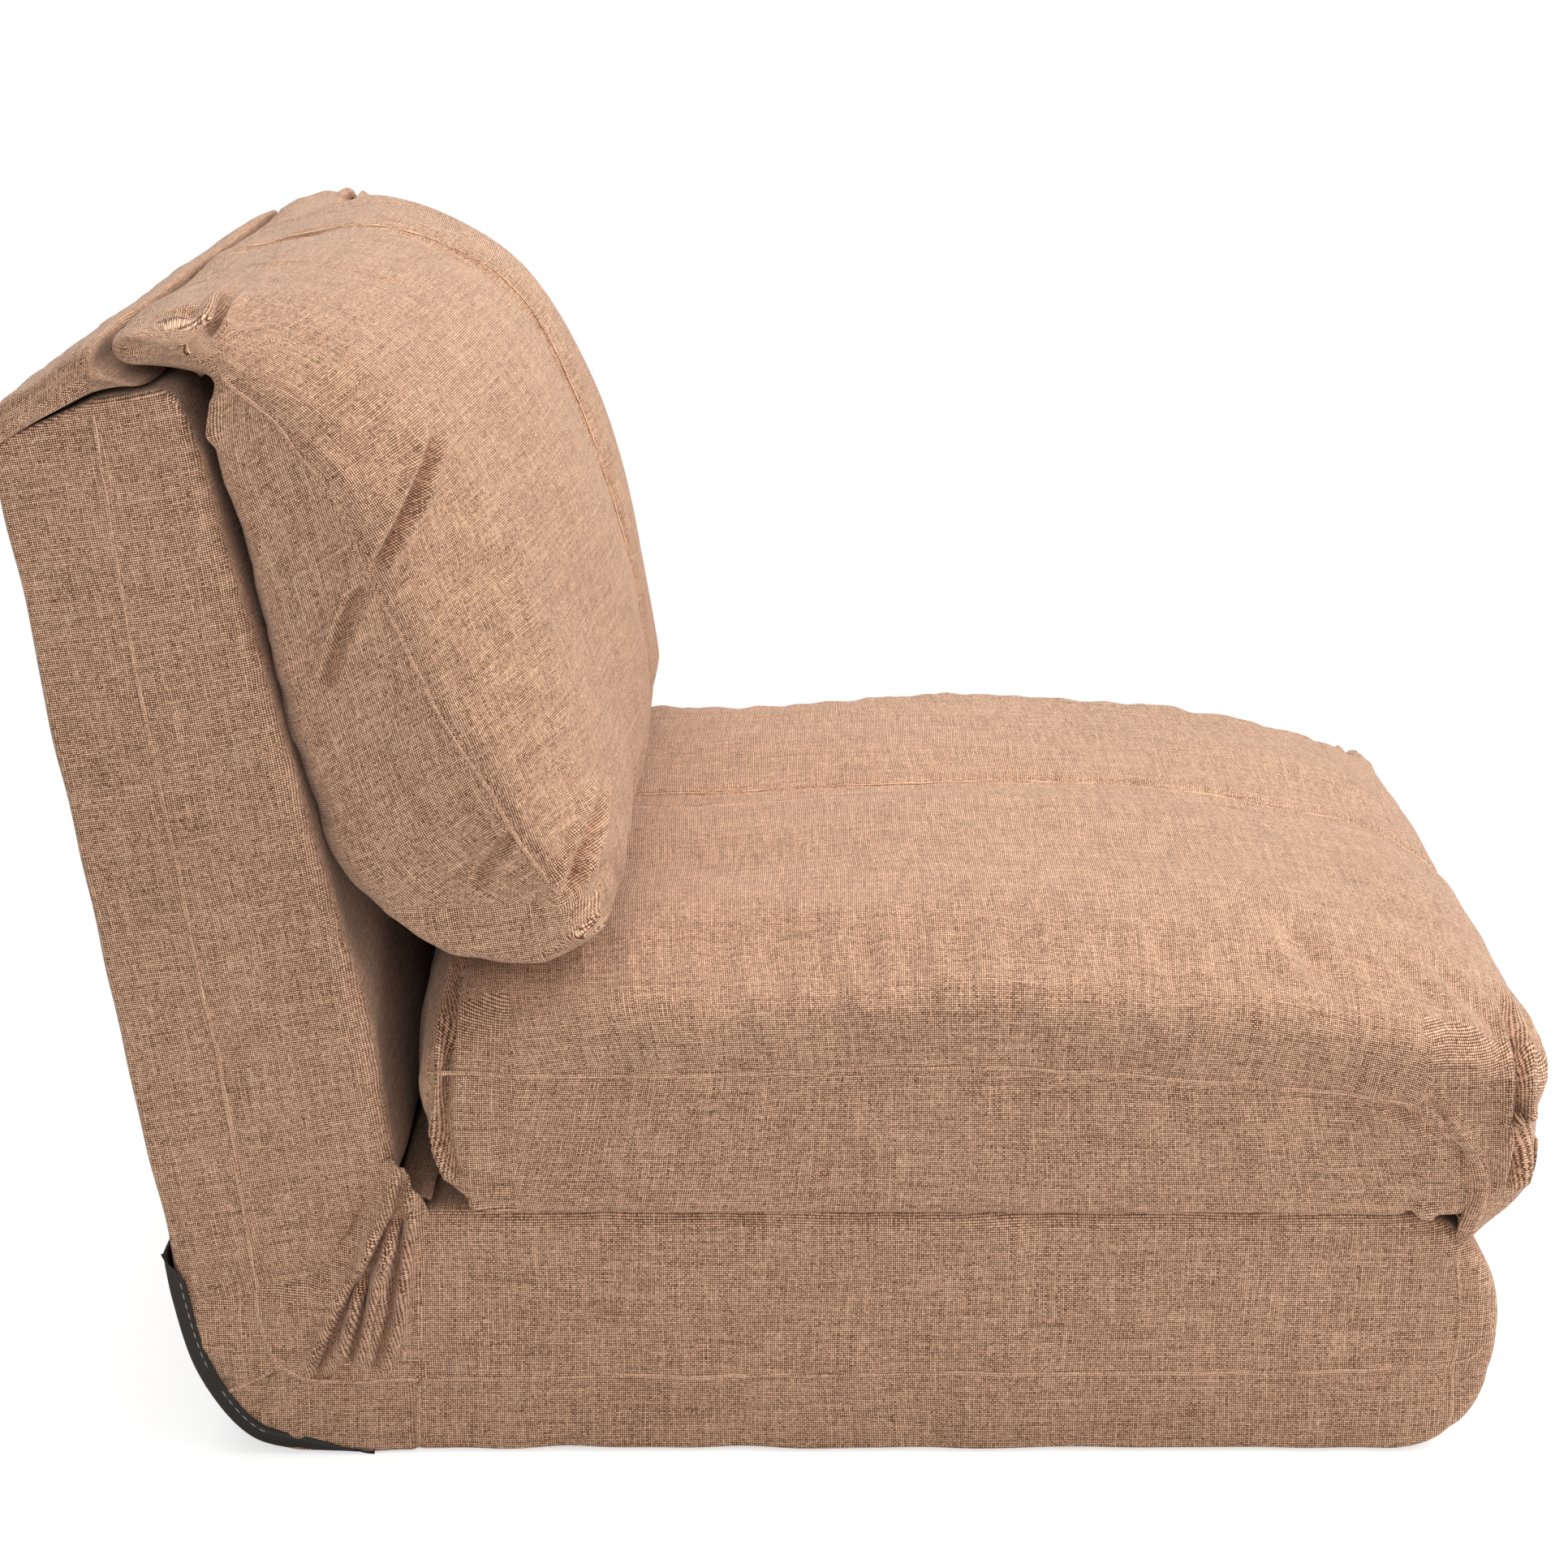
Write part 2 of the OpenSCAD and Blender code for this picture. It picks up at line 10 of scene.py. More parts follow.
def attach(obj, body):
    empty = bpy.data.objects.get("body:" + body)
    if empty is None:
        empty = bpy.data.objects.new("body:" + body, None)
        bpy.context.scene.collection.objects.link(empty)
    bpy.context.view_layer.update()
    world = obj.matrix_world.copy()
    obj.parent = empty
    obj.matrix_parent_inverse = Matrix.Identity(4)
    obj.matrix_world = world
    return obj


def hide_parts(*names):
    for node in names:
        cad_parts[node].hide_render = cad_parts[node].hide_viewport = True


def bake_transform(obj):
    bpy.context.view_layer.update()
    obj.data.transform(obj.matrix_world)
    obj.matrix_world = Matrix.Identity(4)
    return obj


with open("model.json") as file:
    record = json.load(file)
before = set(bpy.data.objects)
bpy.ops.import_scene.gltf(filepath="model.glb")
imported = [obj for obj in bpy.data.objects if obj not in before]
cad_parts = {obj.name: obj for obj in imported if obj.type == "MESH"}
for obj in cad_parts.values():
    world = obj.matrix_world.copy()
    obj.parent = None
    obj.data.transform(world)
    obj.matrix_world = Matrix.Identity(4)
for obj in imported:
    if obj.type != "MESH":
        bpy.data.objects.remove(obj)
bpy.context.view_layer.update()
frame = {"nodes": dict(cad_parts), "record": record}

# Places and sizes are in millimetres, in the frame of the CAD model, until a mesh is made.
MM = 0.001

# Sizes of the chair.
HALF_W = 350.0
BASE_H = 167.0
BASE_FRONT = 445.0
FRONT_CENTRE = 371.0
BASE_REAR = -272.0
BASE_SEAM = 54.0
HINGE = np.array([-296.0, 98.0])
LEAN = math.radians(8.6)
BACK_REAR = 95.0
SEAT_MID = 105.0
CLOTH_T = 2.2
# X of the side outline's origin, and how far the two seams along the middle lie from it.
OUTLINE_X = -4.0
MIDDLE_SEAM = 15.0
SIDES = ((-1, "right"), (1, "left"))
MIRROR = np.array([1, -1, 1])

# Weave of the upholstery.
THREAD = 1.35
THREAD_WANDER = 8 * MM


# Plane curves.
def smooth(a, b, x):
    t = np.clip((x - a) / (b - a), 0, 1)
    return t * t * (3 - 2 * t)


def catmull(points, closed=False, fine=24):
    """Dense smooth line through the points."""
    p = np.array(points, float)
    n = len(p)
    out = []
    for i in range(n if closed else n - 1):
        a, b, c, d = ([p[(i + k) % n] for k in (-1, 0, 1, 2)] if closed
                      else [p[min(max(i + k, 0), n - 1)] for k in (-1, 0, 1, 2)])
        for t in np.arange(fine) / fine:
            out.append(0.5 * (2 * b + (c - a) * t + (2 * a - 5 * b + 4 * c - d) * t * t
                              + (3 * b - a - 3 * c + d) * t ** 3))
    if not closed:
        out.append(p[-1])
    return np.array(out)


def even(line, count, closed=False):
    """The line again, as count points the same way apart."""
    p = np.vstack([line, line[:1]]) if closed else line
    run = length_along(p)
    where = np.linspace(0, run[-1], count + 1)[:-1] if closed else np.linspace(0, run[-1], count)
    return np.stack([np.interp(where, run, p[:, k]) for k in range(p.shape[1])], 1)


def length_along(line, closed=False):
    p = np.vstack([line, line[:1]]) if closed else line
    return np.concatenate([[0], np.cumsum(np.linalg.norm(np.diff(p, axis=0), axis=1))])


def to_line(q, line):
    """Distance from each point to a line, signed by side, and how far along it that is."""
    line = np.array(line, float)
    run = length_along(line)
    best = np.full(len(q), 1e9)
    side = np.zeros(len(q))
    along = np.zeros(len(q))
    for a, b, s in zip(line[:-1], line[1:], run[:-1]):
        d = b - a
        t = np.clip(((q - a) @ d) / (d @ d), 0, 1)
        off = q - (a + t[:, None] * d)
        dist = np.linalg.norm(off, axis=1)
        near = dist < best
        best = np.where(near, dist, best)
        turn = d[0] * off[:, 1] - d[1] * off[:, 0]
        side = np.where(near, np.sign(turn), side)
        along = np.where(near, (s + t * math.sqrt(d @ d)) / run[-1], along)
    return best * side, along


def waves(p, size, seed, count=14):
    """Smooth even unevenness of about +-1 over points p, with bumps about size across."""
    rng = np.random.default_rng(seed)
    total = np.zeros(len(p))
    for _ in range(count):
        d = rng.normal(size=p.shape[1])
        d *= 2 * math.pi / (size * rng.uniform(0.7, 1.6)) / np.linalg.norm(d)
        total += np.sin(p @ d + rng.uniform(0, 2 * math.pi))
    return total / math.sqrt(count)


def unit(v):
    return v / np.linalg.norm(v, axis=1, keepdims=True)


def at(*points):
    """Points of the side outline, in the frame's X and Z."""
    return np.array(points, float) + (OUTLINE_X, 0.0)


def leaned(q):
    """Points of the back's own frame, whose second axis runs up the slab, in the chair's."""
    c, s = math.cos(LEAN), math.sin(LEAN)
    q = np.asarray(q, float)
    return HINGE + np.stack([q[..., 0] * c - q[..., 1] * s, q[..., 0] * s + q[..., 1] * c], -1)


def unleaned(p):
    c, s = math.cos(LEAN), math.sin(LEAN)
    d = np.asarray(p, float) - HINGE
    return np.stack([d[..., 0] * c + d[..., 1] * s, -d[..., 0] * s + d[..., 1] * c], -1)


def side_map(p):
    return p[..., 0], p[..., 2]


def across_at(q, y):
    """The side plane's points q, put at width y."""
    return np.stack([q[:, 0], np.full(len(q), y), q[:, 1]], 1)


def beside(line, side, out):
    """A line of the side plane, put on one side of the chair and out from it."""
    return [(x, side * (HALF_W + out), z) for x, z in line]


# Materials.
class Socket:
    """An output of a shader tree. Sums of these and numbers add their Math nodes."""

    def __init__(self, tree, socket):
        self.tree = tree
        self.socket = socket

    def math(self, operation, *others):
        return Tree.of(self.tree).node("ShaderNodeMath", {"operation": operation}, self, *others)

    def __add__(self, o):
        return self.math("ADD", o)

    def __radd__(self, o):
        return self.math("ADD", o)

    def __sub__(self, o):
        return self.math("SUBTRACT", o)

    def __rsub__(self, o):
        return (self * -1.0) + o

    def __mul__(self, o):
        return self.math("MULTIPLY", o)

    def __rmul__(self, o):
        return self.math("MULTIPLY", o)

    def __truediv__(self, o):
        return self.math("DIVIDE", o)

    def clamped(self):
        return self.math("MINIMUM", 1.0).math("MAXIMUM", 0.0)


class Tree:
    """Builds one material's nodes."""

    def __init__(self, name):
        self.material = bpy.data.materials.new(name)
        self.material.use_nodes = True
        self.tree = self.material.node_tree
        self.tree.nodes.clear()

    @classmethod
    def of(cls, tree):
        made = cls.__new__(cls)
        made.tree = tree
        return made

    def node(self, kind, settings=None, *values, out=0, **named):
        """A node with its settings and its inputs. A value of None leaves an input as it is."""
        n = self.tree.nodes.new(kind)
        for key, value in (settings or {}).items():
            if key == "stops":
                self.set_stops(n.color_ramp, value)
            else:
                setattr(n, key, value)
        for key, value in [*enumerate(values), *named.items()]:
            target = n.inputs[key.replace("_", " ") if isinstance(key, str) else key]
            if isinstance(value, Socket):
                self.tree.links.new(value.socket, target)
            elif value is not None:
                colour = target.type == "RGBA" and len(value) == 3
                target.default_value = (*value, 1) if colour else value
        return Socket(self.tree, n.outputs[out]) if n.outputs else None

    @staticmethod
    def set_stops(ramp, stops):
        while len(ramp.elements) < len(stops):
            ramp.elements.new(0.5)
        for element, (position, colour) in zip(ramp.elements, stops):
            element.position = position
            element.color = (*colour, 1)

    def mix(self, factor, a, b):
        """Colour a, turning to b as the factor rises."""
        unused = [None] * 5
        return self.node("ShaderNodeMix", {"data_type": "RGBA"}, factor, *unused, a, b, out=2)

    def place(self):
        return self.node("ShaderNodeTexCoord", out=3)

    def cloth(self):
        """Measures along and across the cloth, and an unused third."""
        return self.parts(self.node("ShaderNodeAttribute", {"attribute_name": "cloth"}, out=1))

    def vector(self, x, y, z):
        return self.node("ShaderNodeCombineXYZ", None, x, y, z)

    def parts(self, v):
        split = self.node("ShaderNodeSeparateXYZ", None, v)
        return [Socket(self.tree, output) for output in split.socket.node.outputs]

    def noise(self, v, scale, detail=2.0, roughness=0.5):
        return self.node("ShaderNodeTexNoise", None, Vector=v, Scale=scale, Detail=detail,
                         Roughness=roughness)

    def cells(self, v, scale):
        return self.node("ShaderNodeTexVoronoi", None, Vector=v, Scale=scale)

    def bump(self, height, distance, strength):
        return self.node("ShaderNodeBump", None, Height=height, Distance=distance,
                         Strength=strength)

    def finish(self, shader):
        self.node("ShaderNodeOutputMaterial", None, shader)
        return self.material

    def surface(self, **sockets):
        return self.finish(self.node("ShaderNodeBsdfPrincipled", None, **sockets))


def woven(name, dark, mid, light, pale=0.0, relief=0.22):
    """Linen-look plain weave: uneven warp and weft threads over and under each other."""
    t = Tree(name)
    across, down, _ = t.cloth()
    place = t.place()
    across = across + (t.noise(place, 9.0, 1.0) - 0.5) * THREAD_WANDER
    down = down + (t.noise(place, 7.0, 1.0) - 0.5) * THREAD_WANDER
    warp = across / (THREAD * MM)
    weft = down / (THREAD * MM)
    warp_no = warp.math("FLOOR")
    weft_no = weft.math("FLOOR")
    warp_at = ((warp - warp_no) - 0.5) * math.pi
    weft_at = ((weft - weft_no) - 0.5) * math.pi
    swap = ((warp_no + weft_no).math("MODULO", 2.0)).math("ABSOLUTE") * 2.0 - 1.0
    # Each thread is round across its width and rises where it passes over the other.
    warp_round = warp_at.math("COSINE")
    weft_round = weft_at.math("COSINE")
    warp_top = warp_round * (swap * weft_round * 0.42 + 0.58)
    weft_top = weft_round * (swap * warp_round * -0.42 + 0.58)
    height = warp_top.math("MAXIMUM", weft_top)
    # Tone of each thread, which drifts along it, and pale slubs on single threads.
    warp_tone = t.noise(t.vector(warp_no * 7.31, down * 22.0, 3.0), 1.0, 2.0)
    weft_tone = t.noise(t.vector(across * 22.0, weft_no * 7.31, 9.0), 1.0, 2.0)
    warp_slub = t.noise(t.vector(warp_no * 5.77, down * 26.0, 21.0), 1.0, 1.0)
    weft_slub = t.noise(t.vector(across * 26.0, weft_no * 5.77, 37.0), 1.0, 1.0)
    on_top = ((warp_top - weft_top) * 6.0 + 0.5).clamped()
    tone = weft_tone + (warp_tone - weft_tone) * on_top
    cell = t.noise(t.vector(warp_no * 3.17, weft_no * 3.17, 51.0), 1.0, 1.0)
    slub = ((warp_slub.math("MAXIMUM", weft_slub) - 0.66) * 9.0).clamped()
    gap = ((0.42 - warp_slub.math("MINIMUM", weft_slub)) * 7.0).clamped()
    fleck = t.noise(place, 1100.0, 2.0, 0.7)
    cloud = t.noise(place, 6.0, 3.0)
    # Each share of tone_and_shade is taken about its own middle. The height share is painted
    # shade: the colour darkens where the threads dip under each other and between them. pale lifts
    # all of it, a painted highlight for the seam strips.
    tone_and_shade = (tone - 0.5) * 3.1 + (cell - 0.5) * 3.4 + (height - 0.60) * 4.0 + (fleck - 0.5) * 1.6 \
        + (cloud - 0.5) * 0.30 + (0.5 - on_top) * 0.30 + 0.5 + pale - gap * 0.20
    ramp = t.node("ShaderNodeValToRGB", {"stops": [(0.0, dark), (0.5, mid), (1.0, light)]}, tone_and_shade)
    colour = t.mix(slub * 0.34, ramp, light)
    lift = height + slub * 0.25 + (fleck - 0.5) * 0.35
    return t.surface(Base_Color=colour, Roughness=0.9, Sheen_Weight=0.30, Sheen_Roughness=0.5,
                     Sheen_Tint=(1.0, 0.88, 0.78, 1.0), Specular_IOR_Level=0.15,
                     Normal=t.bump(lift, relief * MM, 0.9))


TAN_DARK = (0.130, 0.058, 0.028)
TAN_MID = (0.462, 0.233, 0.129)
TAN_LIGHT = (0.88, 0.570, 0.392)


def leatherette():
    t = Tree("leatherette")
    place = t.place()
    pebble = t.cells(place, 900.0)
    soft = t.noise(place, 60.0, 3.0)
    colour = t.mix(soft, (0.012, 0.009, 0.007), (0.030, 0.022, 0.017))
    return t.surface(Base_Color=colour, Roughness=soft * 0.2 + 0.38, Specular_IOR_Level=0.45,
                     Normal=t.bump(pebble + soft * 0.6, 0.3 * MM, 0.6))


def thread(name, colour):
    t = Tree(name)
    across, down, _ = t.cloth()
    twist = ((down * 2200.0) + (across * 2200.0)).math("SINE")
    # The thread darkens along the grooves of its twist: painted shade.
    dark = tuple(0.55 * c for c in colour)
    return t.surface(Base_Color=t.mix(twist * 0.5 + 0.5, dark, colour), Roughness=0.7,
                     Normal=t.bump(twist, 0.1 * MM, 0.6))


def open_foam():
    t = Tree("foam")
    place = t.place()
    cells = t.cells(place, 700.0)
    tint = t.noise(place, 12.0, 2.0)
    return t.surface(Base_Color=t.mix(cells * 0.8 + tint * 0.3, (0.52, 0.43, 0.25),
                                      (0.82, 0.76, 0.60)),
                     Roughness=0.95, Normal=t.bump(cells, 0.8 * MM, 0.9))


def powder_coat():
    t = Tree("powder_coat")
    place = t.place()
    peel = t.noise(place, 420.0, 2.0)
    rub = t.noise(place, 22.0, 4.0)
    return t.surface(Base_Color=t.mix(rub, (0.018, 0.018, 0.020), (0.045, 0.045, 0.048)),
                     Roughness=peel * 0.18 + 0.36, Normal=t.bump(peel, 0.12 * MM, 0.5))


def zinc_plate():
    t = Tree("zinc_plate")
    place = t.place()
    x, y, z = t.parts(place)
    brushed = t.noise(t.vector(x * 90.0, y * 1500.0, z * 1500.0), 1.0, 3.0)
    bloom = t.cells(place, 160.0)
    return t.surface(Base_Color=t.mix(bloom, (0.50, 0.50, 0.49), (0.68, 0.68, 0.66)),
                     Metallic=1.0, Roughness=brushed * 0.2 + bloom * 0.15 + 0.22,
                     Normal=t.bump(brushed, 0.05 * MM, 0.4))


WHITE = (1.0, 1.0, 1.0)


def floor_paper():
    """White paper: shadows stay, and the rest of it meets the white background."""
    t = Tree("floor_paper")
    seen = t.node("ShaderNodeLightPath")
    place = t.place()
    grain = t.noise(place, 40.0, 2.0)
    paper = t.node("ShaderNodeBsdfDiffuse", None,
                   t.mix(grain, (0.80, 0.80, 0.80), (0.82, 0.82, 0.82)))
    glow = t.node("ShaderNodeEmission", None, WHITE, seen * 0.60)
    lit = t.node("ShaderNodeAddShader", None, paper, glow)
    white = t.node("ShaderNodeEmission", None, WHITE, 1.0)
    x, y, _ = t.parts(place)
    away = (((x * x + y * y).math("SQRT") - 0.52) * 3.2).clamped()
    return t.finish(t.node("ShaderNodeMixShader", None, away * seen, lit, white))


UPHOLSTERY = woven("upholstery", TAN_DARK, TAN_MID, TAN_LIGHT)
# The seam strips take a paler copy of the upholstery: painted highlight on the raised seams.
SEAM_CLOTH_HIGHLIT = woven("seam_cloth_highlit", TAN_DARK, TAN_MID, TAN_LIGHT, pale=0.42, relief=0.16)
LEATHER = leatherette()
STITCH = thread("stitch_thread", (0.42, 0.38, 0.33))


# Meshes.
def zipped(ring):
    """Triangles that close a narrow ring, from one end of it to the other."""
    n = len(ring)
    middle = ring - ring.mean(0)
    axis = np.linalg.svd(middle, full_matrices=False)[2][0]
    far = middle @ axis
    a = b = int(np.argmin(far))
    out = []
    for _ in range(n - 2):
        up, down = (a + 1) % n, (b - 1) % n
        if far[up] <= far[down] and up != b or down == a:
            if a != b:
                out.append((a, up, b))
            a = up
        else:
            if a != b:
                out.append((a, down, b))
            b = down
    out.append((a, (a + 1) % n, b))
    return np.array([t for t in out if len(set(t)) == 3])


def sheet(name, rows, material, closed=True, flat=None, flat_map=side_map, hole=None):
    """A grid of points: rows of the same count, each row a closed loop or an open line.

    The cloth's own measures lie along and across the rows. On faces where flat(centres)
    holds and on the caps of closed rows they follow flat_map, and hole(centres) drops faces.
    """
    rows = np.array(rows, float)
    high, wide = rows.shape[:2]
    run = np.zeros((high, wide))
    run[1:] = np.cumsum(np.linalg.norm(np.diff(rows, axis=0), axis=2), axis=0)
    run -= run[high // 2]
    mid = rows[high // 2][:, [0, 2]] if closed else rows[high // 2]
    reach = length_along(mid, closed)
    k = np.arange(high - 1)[:, None]
    i = np.arange(wide if closed else wide - 1)[None, :]
    j = (i + 1) % wide
    faces = np.stack([k * wide + i, k * wide + j,
                      (k + 1) * wide + j, (k + 1) * wide + i], -1)
    u = np.stack([reach[i] + 0 * k, reach[i + 1] + 0 * k,
                  reach[i + 1] + 0 * k, reach[i] + 0 * k], -1)
    v = np.stack([run[k, i], run[k, j], run[k + 1, j], run[k + 1, i]], -1)
    faces, u, v = faces.reshape(-1, 4), u.reshape(-1, 4), v.reshape(-1, 4)
    points = rows.reshape(-1, 3)
    corners = points[faces]
    if flat is not None:
        on = flat(corners.mean(1))[:, None]
        fu, fv = flat_map(corners)
        u, v = np.where(on, fu, u), np.where(on, fv, v)
    keep = ~hole(corners.mean(1)) if hole else np.full(len(faces), True)
    faces_list = faces[keep].tolist()
    uv = np.stack([u, v], -1)[keep].reshape(-1, 2)
    if closed:
        for row in (0, high - 1):
            first = row * wide
            tris = zipped(points[first:first + wide]) + first
            tris = tris[:, ::-1] if row == 0 else tris
            if hole:
                tris = tris[~hole(points[tris].mean(1))]
            faces_list += tris.tolist()
            fu, fv = flat_map(points[tris].reshape(-1, 3))
            uv = np.vstack([uv, np.stack([fu, fv], -1)])
    mesh = bpy.data.meshes.new(name)
    mesh.from_pydata((points * MM).tolist(), [], faces_list)
    cloth = mesh.attributes.new("cloth", "FLOAT_VECTOR", "CORNER")
    cloth.data.foreach_set("vector", np.hstack([uv * MM, np.zeros((len(uv), 1))])
                           .astype(np.float32).ravel())
    mesh.polygons.foreach_set("use_smooth", [True] * len(mesh.polygons))
    mesh.update()
    obj = bpy.data.objects.new(name, mesh)
    bpy.context.scene.collection.objects.link(obj)
    mesh.materials.append(material)
    if closed and volume_of(mesh) < 0:
        mesh.flip_normals()
    return obj


def volume_of(mesh):
    mesh.calc_loop_triangles()
    co = points_of(mesh)
    tri = np.empty(len(mesh.loop_triangles) * 3, np.int32)
    mesh.loop_triangles.foreach_get("vertices", tri)
    a, b, c = (co[tri.reshape(-1, 3)[:, k]] for k in range(3))
    return float(np.einsum("ij,ij->i", a, np.cross(b, c)).sum())


def points_of(mesh):
    co = np.empty(len(mesh.vertices) * 3)
    mesh.vertices.foreach_get("co", co)
    return co.reshape(-1, 3) / MM


def normals_of(mesh):
    n = np.empty(len(mesh.vertices) * 3)
    mesh.vertices.foreach_get("normal", n)
    return n.reshape(-1, 3)


def set_points(mesh, co):
    mesh.vertices.foreach_set("co", (co * MM).ravel())
    mesh.update()


def relief(obj, height):
    """Moves the surface out along its normals by height(points, normals)."""
    mesh = obj.data
    co, n = points_of(mesh), normals_of(mesh)
    set_points(mesh, co + n * height(co, n)[:, None])


def drop_loose(obj):
    """Drops points that no face uses."""
    b = bmesh.new()
    b.from_mesh(obj.data)
    bmesh.ops.delete(b, geom=[v for v in b.verts if not v.link_faces], context="VERTS")
    b.to_mesh(obj.data)
    b.free()


def thicken(obj, thickness):
    """Gives a sheet its cloth's thickness."""
    m = obj.modifiers.new("thickness", "SOLIDIFY")
    m.thickness = thickness * MM
    m.offset = -1.0
    m.use_even_offset = False
    bake(obj)


def bake(obj):
    """Puts the modifiers' result into the mesh."""
    graph = bpy.context.evaluated_depsgraph_get()
    mesh = bpy.data.meshes.new_from_object(obj.evaluated_get(graph), preserve_all_data_layers=True,
                                           depsgraph=graph)
    obj.modifiers.clear()
    obj.data = mesh


def inflate(obj, cap, held, frames=20, pressure=4.0, slack=0.02):
    """Cloth simulation: the cover fills out like a stuffed pad. No point moves over cap."""
    start = points_of(obj.data)
    m = obj.modifiers.new("cloth", "CLOTH")
    s = m.settings
    s.quality = 5
    s.mass = 0.3
    s.tension_stiffness = s.compression_stiffness = 15
    s.shear_stiffness = 5
    s.bending_stiffness = 0.5
    s.air_damping = 1.0
    s.use_pressure = True
    s.uniform_pressure_force = pressure
    s.shrink_min = -slack
    s.effector_weights.gravity = 0
    m.collision_settings.use_collision = False
    group = obj.vertex_groups.new(name="held")
    group.add([int(i) for i in np.nonzero(held)[0]], 1.0, "REPLACE")
    s.vertex_group_mass = "held"
    m.point_cache.frame_end = frames
    scene = bpy.context.scene
    for f in range(1, frames + 1):
        scene.frame_set(f)
    graph = bpy.context.evaluated_depsgraph_get()
    done = points_of(obj.evaluated_get(graph).data)
    obj.modifiers.clear()
    scene.frame_set(1)
    move = done - start
    far = np.linalg.norm(move, axis=1, keepdims=True)
    set_points(obj.data, start + move * np.minimum(1, cap / np.maximum(far, 1e-6)))


TREES = {}


def tree_of(obj):
    """The object's faces, ready for finding the nearest one."""
    if obj.name not in TREES:
        TREES[obj.name] = BVHTree.FromObject(obj, bpy.context.evaluated_depsgraph_get())
    return TREES[obj.name]


def rail(name, host, path, width, height, sink=0.7, step=4.0, ends=10.0):
    """A sewn seam: a low rounded strip that follows a path over the host's surface."""
    path = np.array(path, float)
    path = even(catmull(path), max(4, int(length_along(path)[-1] / step)))
    bvh = tree_of(host)
    spots, ups = [], []
    for p in path:
        hit, n, _, _ = bvh.find_nearest(Vector(p * MM))
        spots.append(np.array(hit) / MM)
        ups.append(np.array(n))
    spots, ups = np.array(spots), np.array(ups)
    for _ in range(3):
        spots[1:-1] = (spots[:-2] + 2 * spots[1:-1] + spots[2:]) / 4
        ups[1:-1] = (ups[:-2] + 2 * ups[1:-1] + ups[2:]) / 4
    ahead = unit(np.gradient(spots, axis=0))
    aside = unit(np.cross(ahead, ups))
    ups = np.cross(aside, ahead)
    run = length_along(spots)
    taper = np.minimum(1, np.minimum(run, run[-1] - run) / ends + 0.15)
    section = [(-0.5, -sink), (-0.40, 0.55 * height), (-0.16, height), (0.16, height),
               (0.40, 0.55 * height), (0.5, -sink)]
    rows = [[s + a * x * width * (0.5 + 0.5 * k) + u * (z * k if z > 0 else z)
             for x, z in section] for s, a, u, k in zip(spots, aside, ups, taper)]
    return sheet(name, rows, SEAM_CLOTH_HIGHLIT)


def own(obj, body, stands_for=()):
    """Puts a finished piece under its body and hides the CAD nodes it replaces."""
    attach(obj, body)
    if stands_for:
        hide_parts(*stands_for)


def bend(obj, stands_for=()):
    """Bakes the place of a piece between base and back into its mesh, and hides the CAD nodes it
    replaces.
    """
    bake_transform(obj)
    if stands_for:
        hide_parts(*stands_for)


# Cushions.
def power(a, p):
    return np.sign(a) * np.abs(a) ** p


def seat_seam_z(x):
    return 262 - 34 * (np.maximum(0, x - 56) / 400) ** 2


def fine(obj):
    """Splits each face in four and rounds the surface."""
    m = obj.modifiers.new("fine", "SUBSURF")
    m.levels = m.render_levels = 1
    bake(obj)


def soften(obj, centre, radius, rounds=60):
    """Evens out the surface round a point."""
    co = points_of(obj.data)
    ends = np.empty(2 * len(obj.data.edges), np.int32)
    obj.data.edges.foreach_get("vertices", ends)
    ends = ends.reshape(-1, 2)
    near = smooth(radius, 0.5 * radius, np.linalg.norm(co - centre, axis=1))[:, None]
    count = np.bincount(ends.ravel(), minlength=len(co))[:, None]
    for _ in range(rounds):
        total = np.zeros_like(co)
        np.add.at(total, ends[:, 0], co[ends[:, 1]])
        np.add.at(total, ends[:, 1], co[ends[:, 0]])
        co += near * (total / count - co)
    set_points(obj.data, co)


def puckers(along, size, drift, swing=2.0, wide=0.6, pitch=19.0):
    """Small uneven waves along a seam."""
    return np.sin(along / size + swing * np.sin(along / drift)) + wide * np.sin(along / pitch)


def middle_channel(y, along):
    """The puckered channel between the two seams along the middle of a cushion."""
    d = np.abs(y) - MIDDLE_SEAM
    return 0.35 * np.sin(along / 5.1) * np.exp(-(d / 9) ** 2) \
        - 1.3 * np.exp(-(d / 4) ** 2) - 0.6 * smooth(3, -2, d)


def pillow_rows(loop, core, full, half, dip, count, nub=0.03):
    """Rows of a cushion from one side to the other: its outline drawn in to a seam line.

    The higher full is for an outline point, the fuller the cushion stays near its side.
    """
    reach = np.linalg.norm(loop - core, axis=1)
    a = np.linspace(0, 1, 500)
    s = np.empty((len(loop), 2 * count + 1))
    f = np.empty_like(s)
    for i, m in enumerate(full):
        # One half runs evenly in f, the other evenly in s, so both ends are well sampled.
        fs = np.concatenate([a, np.maximum(0, 1 - a[::-1] ** m) ** (1 / m)])
        fs = np.sort(fs)
        ss = np.maximum(nub, np.maximum(0, 1 - fs ** m) ** (1 / m))
        run = length_along(np.stack([fs * half, ss * reach[i]], 1))
        where = np.linspace(0, run[-1], count + 1)
        f[i, count:] = np.interp(where, run, fs)
        s[i, count:] = np.interp(where, run, ss)
    f[:, :count] = -f[:, :count:-1]
    s[:, :count] = s[:, :count:-1]
    s = s - dip[:, None] * np.exp(-(f * half / 26) ** 2)
    q = core[:, None] + (loop - core)[:, None] * s[..., None]
    return np.stack([q[..., 0], f * half, q[..., 1]], -1).transpose(1, 0, 2)


